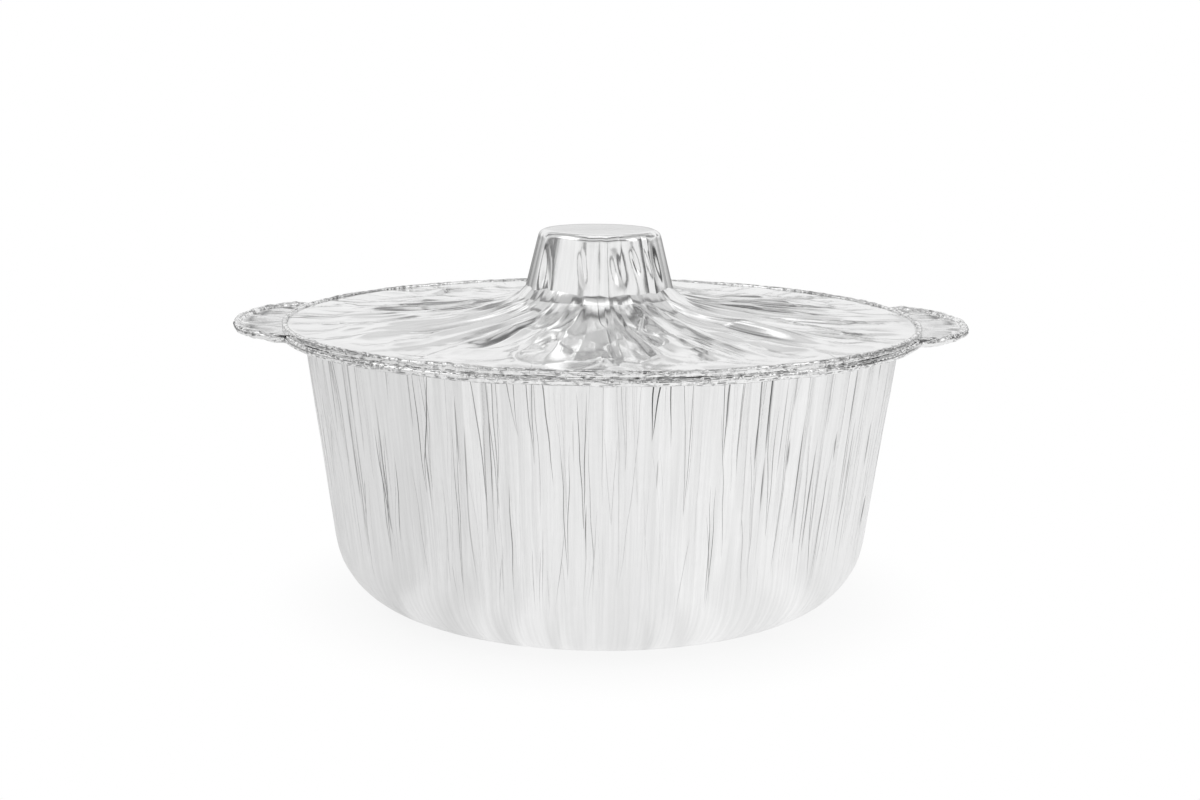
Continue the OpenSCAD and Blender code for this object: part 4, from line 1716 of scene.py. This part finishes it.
@dataclass
class Studio:
    """White floor, soft lamps, pale surroundings and the camera at the photograph's angle."""

    azimuth: float = -1.38
    elevation: float = 8.885
    distance: float = 813.1
    roll: float = 0.586
    focal_px: float = 1971.0
    image_w: float = 1200.0
    image_h: float = 800.0
    target_z: float = 107.39
    target_px: tuple[float, float] = (601.04, 337.97)
    sensor: float = 36.0
    camera_reach_m: float = 20.0
    lamp_aim_m: float = 0.08
    floor_half_m: float = 3.0
    floor_drop_m: float = 0.0002
    floor_hex: str = "#F4F4F4"
    # The floor as the metal mirrors it. The rows of four map a range to strengths: metres along
    # +Y, the cosine of the bearing from -X, and noise by bearing.
    mirror_near: float = 1.02
    mirror_reach_m: tuple[float, float] = (0.3, 0.9)
    mirror_behind: tuple[float, ...] = (-0.1, 0.5, 0.95, 0.2)
    mirror_aside: tuple[float, ...] = (0.4, 0.95, 1.0, 0.84)
    mirror_uneven: tuple[float, ...] = (0.35, 0.65, 0.82, 1.05)
    mirror_noise: float = 7.0
    mirror_lit: float = 0.12
    # The faint contact shadow: distance from the axis in metres, and how much of it is kept.
    shadow: tuple[float, ...] = (0.085, 0.15, 0.15, 0.0)
    world_grey: float = 0.8

    def build(self) -> None:
        """Sets up everything round the object."""
        self._camera()
        self._floor()
        self._world()
        for lamp in LAMPS:
            self._hang(lamp)
        settings = bpy.context.scene.view_settings
        settings.view_transform = "Standard"

    def _camera(self) -> None:
        """Aims the camera so that the rim's middle falls where the photograph has it."""
        a, e = math.radians(self.azimuth), math.radians(self.elevation)
        back = Vector((math.sin(a) * math.cos(e), -math.cos(a) * math.cos(e), math.sin(e)))
        target = Vector((0, 0, self.target_z * MM))
        place = target + back * (self.distance * MM)
        left = math.atan((self.target_px[0] - self.image_w / 2) / self.focal_px)
        down = math.atan((self.image_h / 2 - self.target_px[1]) / self.focal_px)
        ahead = -back
        ahead.rotate(Matrix.Rotation(left, 3, "Z"))
        aside = ahead.cross(Vector((0, 0, 1))).normalized()
        ahead.rotate(Matrix.Rotation(-down, 3, aside))
        upward = aside.cross(ahead).normalized()
        turned = Matrix.Rotation(math.radians(-self.roll), 3, ahead)
        aside, upward = turned @ aside, turned @ upward
        frame = Matrix((aside, upward, -ahead)).transposed().to_4x4()
        lens = bpy.data.cameras.new("camera")
        lens.sensor_width = self.sensor
        lens.lens = self.focal_px / self.image_w * self.sensor
        lens.clip_end = self.camera_reach_m
        camera = bpy.data.objects.new("camera", lens)
        camera.matrix_world = Matrix.Translation(place) @ frame
        bpy.context.scene.collection.objects.link(camera)
        bpy.context.scene.camera = camera

    def _hang(self, lamp: Lamp) -> None:
        """Hangs a lamp so that it faces the object.

        Args:
            lamp: The lamp.
        """
        light = bpy.data.lights.new(lamp.name, "AREA")
        light.shape = "SQUARE"
        light.size = lamp.size
        light.energy = lamp.power
        hung = bpy.data.objects.new(lamp.name, light)
        hung.location = lamp.place
        facing = Vector((0, 0, self.lamp_aim_m)) - Vector(lamp.place)
        hung.rotation_euler = facing.to_track_quat("-Z", "Y").to_euler()
        bpy.context.scene.collection.objects.link(hung)

    def _floor(self) -> None:
        """Adds the floor: white, with a faint shadow, and darker far off in the metal's mirror."""
        half = self.floor_half_m
        mesh = bpy.data.meshes.new("floor")
        corners = ((-half, -half), (half, -half), (half, half), (-half, half))
        mesh.from_pydata([(x, y, -self.floor_drop_m) for x, y in corners], [], [(0, 1, 2, 3)])
        floor = bpy.data.objects.new("floor", mesh)
        bpy.context.scene.collection.objects.link(floor)
        material = bpy.data.materials.new("matt_white_sweep")
        material.use_nodes = True
        tree = material.node_tree
        tree.nodes.clear()
        g = Steps(tree)
        path = add_node(tree, "ShaderNodeLightPath").outputs
        plain = {"Color": linear_colour(self.floor_hex)}
        lit = add_node(tree, "ShaderNodeBsdfDiffuse", inputs=plain).outputs[0]
        place = add_node(tree, "ShaderNodeTexCoord").outputs["Object"]
        far, way = g(Step.LENGTH, place), g(Step.NORMALIZE, place)
        spokes = g(Step.NOISE, way, 0.0, self.mirror_noise, 2.0, NOISE_ROUGHNESS)
        behind = add_node(tree, "ShaderNodeSeparateXYZ", inputs={0: place}).outputs["Y"]
        behind = g(Step.SOFT_RAMP, behind, *self.mirror_behind)
        reach = g(Step.SOFT_RAMP, far, *self.mirror_reach_m, 0.0, 1.0)
        fall = g(Step.SUBTRACT, behind, self.mirror_near)
        fall = g(Step.MULTIPLY_ADD, reach, fall, self.mirror_near)
        aside = g(Step.DOT_PRODUCT, way, (-1.0, 0.0, 0.0))
        uneven = g(Step.RAMP, spokes, *self.mirror_uneven)
        uneven = g(Step.MULTIPLY, uneven, g(Step.SOFT_RAMP, aside, *self.mirror_aside))
        glow = {"Strength": g(Step.MULTIPLY, fall, uneven)}
        mirrored = add_node(tree, "ShaderNodeEmission", inputs=glow).outputs[0]
        white = add_node(tree, "ShaderNodeEmission", inputs={"Strength": 1.0}).outputs[0]
        seen = g(Step.BLEND, g(Step.SOFT_RAMP, far, *self.shadow), white, lit)
        mirrored = g(Step.BLEND, self.mirror_lit, mirrored, lit)
        glossy = g(Step.MAXIMUM, path["Is Glossy Ray"], path["Is Transmission Ray"])
        first = g(Step.BLEND, path["Is Camera Ray"], lit, seen)
        surface = {"Surface": g(Step.BLEND, glossy, first, mirrored)}
        add_node(tree, "ShaderNodeOutputMaterial", inputs=surface)
        mesh.materials.append(material)

    def _world(self) -> None:
        """Pale surroundings: plain white to the camera, with cards that the metal can mirror."""
        world = bpy.data.worlds.new("pale_studio")
        world.use_nodes = True
        bpy.context.scene.world = world
        tree = world.node_tree
        tree.nodes.clear()
        g = Steps(tree)
        path = add_node(tree, "ShaderNodeLightPath").outputs
        way = add_node(tree, "ShaderNodeTexCoord").outputs["Generated"]
        axes = add_node(tree, "ShaderNodeSeparateXYZ", inputs={0: way}).outputs
        upward = {"Fac": g(Step.MULTIPLY_ADD, axes["Z"], 0.5, 0.5)}
        ramp = add_node(tree, "ShaderNodeValToRGB", inputs=upward)
        elements = ramp.color_ramp.elements
        while len(elements) < len(SKY):
            elements.new(0.5)
        for element, (elevation, grey) in zip(elements, SKY):
            element.position = 0.5 + 0.5 * math.sin(math.radians(elevation))
            element.color = (grey, grey, grey, 1.0)
        bearing = g(Step.ARCTAN2, axes["Y"], axes["X"])
        height = g(Step.ARCSINE, axes["Z"])
        strength: Any = 1.0
        for card in CARDS:
            turned = g(Step.SUBTRACT, bearing, math.radians(card.azimuth))
            turned = g(Step.ABSOLUTE, g(Step.WRAP, turned, math.pi, -math.pi))
            half, soft = math.radians(card.half), math.radians(card.soft)
            low, high = math.radians(card.low), math.radians(card.high)
            inside = g(Step.SOFT_RAMP, turned, half, half + soft, 1.0, 0.0)
            above = g(Step.SOFT_RAMP, height, low - soft, low, 0.0, 1.0)
            inside = g(Step.MULTIPLY, inside, above)
            below = g(Step.SOFT_RAMP, height, high, high + soft, 1.0, 0.0)
            inside = g(Step.MULTIPLY, inside, below)
            shade = g(Step.MULTIPLY_ADD, inside, card.shade - 1.0, 1.0)
            strength = g(Step.MULTIPLY, strength, shade)
        grey, white = (self.world_grey,) * 3 + (1.0,), (1.0, 1.0, 1.0, 1.0)
        mirrored, plain, seen = (
            add_node(tree, "ShaderNodeBackground", inputs=given).outputs[0]
            for given in (
                {"Color": ramp.outputs["Color"], "Strength": strength},
                {"Color": grey},
                {"Color": white},
            )
        )
        glossy = g(Step.MAXIMUM, path["Is Glossy Ray"], path["Is Transmission Ray"])
        first = g(Step.BLEND, glossy, plain, mirrored)
        surface = {"Surface": g(Step.BLEND, path["Is Camera Ray"], first, seen)}
        add_node(tree, "ShaderNodeOutputWorld", inputs=surface)


@dataclass(frozen=True)
class Lamp:
    """A square soft lamp: its place and size in metres, and its power in watts."""

    name: str
    place: tuple[float, float, float]
    size: float
    power: float


LAMPS = (
    Lamp("key_softbox", (-1.0, -0.2, 1.0), 0.6, 0.85),
    Lamp("fill_softbox", (1.0, -0.3, 0.9), 0.6, 0.7),
    Lamp("top_softbox", (0.0, 0.3, 1.5), 0.8, 1.3),
)


@dataclass(frozen=True)
class Card:
    """A studio card that the metal mirrors: a place in the surroundings made darker or brighter.

    Angles are in degrees: azimuth from +X toward +Y, and elevation above the horizon.
    """

    azimuth: float
    half: float
    low: float
    high: float
    shade: float
    soft: float = 2.0


# The surroundings that the metal mirrors: elevation in degrees and grey.
SKY = (
    (-12.0, 0.16),
    (-4.0, 0.22),
    (2.0, 0.5),
    (8.0, 0.93),
    (20.0, 0.98),
    (30.0, 0.7),
    (44.0, 0.8),
    (60.0, 0.58),
    (90.0, 0.66),
)
CARDS = (
    Card(90.0, 34.0, 54.0, 60.0, 1.5, 1.0),
    Card(-90.0, 62.0, 5.0, 26.0, 1.02, 2.0),
    Card(-90.0, 70.0, 54.0, 60.0, 1.35, 1.0),
    Card(-90.0, 60.0, 34.0, 43.0, 0.2, 1.0),
    Card(-70.0, 6.0, 0.0, 27.0, 0.2, 1.0),
    Card(14.0, 11.0, 0.0, 27.0, 0.12, 1.0),
    Card(176.0, 9.0, 0.0, 27.0, 0.25, 1.0),
    Card(-128.0, 3.0, 6.0, 24.0, 0.3, 1.0),
    Card(-28.0, 3.0, 2.0, 22.0, 0.25, 1.0),
    Card(70.0, 4.0, 26.0, 46.0, 0.4, 1.0),
    Card(104.0, 4.0, 30.0, 50.0, 0.4, 1.0),
    Card(44.0, 7.0, 14.0, 60.0, 0.35, 1.0),
    Card(140.0, 7.0, 14.0, 60.0, 0.35, 1.0),
    Card(90.0, 180.0, 68.0, 76.0, 0.25, 1.0),
)


# Aluminium foil, cold-rolled and then drawn deep between dies. Drawing leaves fine upright lines
# that smear its mirror into a soft sheen. The tucked pleats are pressed in as grooves and darkened
# into thin dark threads in the colour: painted shade in the creases. The real lines are too fine
# to show at this size, so they are drawn about 1.7 mm wide.
WALL_FOIL = Finish(
    name="drawn_aluminium_foil",
    light_hex="#F4F4F4",
    shade_hex="#ECECEC",
    crease_shade_hex="#4A4B4C",
    roughness=0.2,
    reference_mm=112.0,
    streak_mm=1.7,
    streak_stretch=30.0,
    streak_depth=0.25,
    crumple_mm=3.0,
    crumple_depth=0.03,
    creases=(
        Creases(44.0, 104.0, 0.018, 0.5, 0.9, 1.0),
        Creases(59.0, 80.0, 0.022, 0.7, 0.8, 2.0),
        Creases(83.0, 60.0, 0.028, 0.8, 0.4, 3.0),
        Creases(120.0, 84.0, 0.024, 0.4, 0.55, 5.0),
    ),
    groove_depth=0.26,
    tuck_depth=0.4,
    fade_mm=(18.0, 50.0),
)
# Aluminium foil, cold-rolled bright and pressed in one shallow stroke. It is close to a mirror,
# so each facet shows one tone of the room and changes sharply at its ridge. Its creases and
# valleys are darkened in the colour: painted shade.
LID_FOIL = Finish(
    name="pressed_aluminium_foil",
    light_hex="#F4F4F4",
    shade_hex="#ECECEC",
    crease_shade_hex="#5A5B5C",
    roughness=0.15,
    reference_mm=60.0,
    streak_mm=4.0,
    streak_stretch=8.0,
    streak_depth=0.04,
    crumple_mm=9.0,
    crumple_depth=0.05,
    creases=(Creases(41.0, 46.0, 0.03, 0.7, 0.4, 4.0),),
    groove_depth=0.14,
    tuck_depth=0.2,
    fade_mm=(-100.0, -99.0),
    outwards=True,
)
# The same aluminium foil, rolled over and crushed by the edge tool. It is the most broken
# surface: small bright facets beside short dark cracks, which are painted shade in the colour.
# The real wrinkles are too fine to show at this size, so they are drawn about 2 mm wide.
EDGE_FOIL = Finish(
    name="crushed_aluminium_foil",
    light_hex="#F8F8F8",
    shade_hex="#EEEEEE",
    crease_shade_hex="#4E4F50",
    roughness=0.12,
    reference_mm=129.0,
    streak_mm=2.1,
    streak_stretch=2.2,
    streak_depth=0.04,
    crumple_mm=2.0,
    crumple_depth=0.04,
    crackle_depth=0.12,
    crackle_shade=0.6,
)


def dress(piece: bpy.types.Object, material: bpy.types.Material, node: str) -> None:
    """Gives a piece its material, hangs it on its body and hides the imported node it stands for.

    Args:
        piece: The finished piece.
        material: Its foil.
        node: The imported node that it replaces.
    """
    if not piece.data.materials:
        piece.data.materials.append(material)
    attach(piece, BODY)
    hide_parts(node)
    piece.data.calc_loop_triangles()
    LOG.info("%s: %d triangles", piece.name, len(piece.data.loop_triangles))


def main() -> None:
    """Builds the dressed pot and lid and the studio round them."""
    logging.basicConfig(level=logging.INFO, format="%(message)s")
    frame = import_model()
    pot, lid = frame["nodes"]["pot"], frame["nodes"]["lid"]
    rim_r = float(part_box("pot")[1].y) / MM
    Studio().build()

    creases = crease_group()
    wall_foil, lid_foil, edge_foil = (f.build(creases) for f in (WALL_FOIL, LID_FOIL, EDGE_FOIL))
    wall = PotWall(SolidRings(pot, POT_PLEATS))
    dress(wall.build(), wall_foil, "pot")
    rim = PotRim(rim_r=rim_r, flange_z=wall.flange_z)
    dress(rim.build(Crumple(), edge_foil, wall_foil), edge_foil, "pot")

    lid_inset, lid_gap = 1.0, 0.2
    edge = LidEdge(
        roll_r=rim_r - lid_inset - LidEdge.width / 2,
        roll_z=wall.pot_h + lid_gap + LidEdge.height / 2,
    )
    sheet = LidSheet(
        SolidRings(lid, LID_GATHERS),
        edge_r=edge.roll_r - edge.width / 2 + edge.foil_t / 2,
        roll_r=edge.roll_r,
        roll_z=edge.roll_z,
    )
    dress(sheet.build(), lid_foil, "lid")
    dress(edge.build(Crumple(seed=8.0), edge_foil, lid_foil), edge_foil, "lid")


if __name__ == "__main__":
    main()
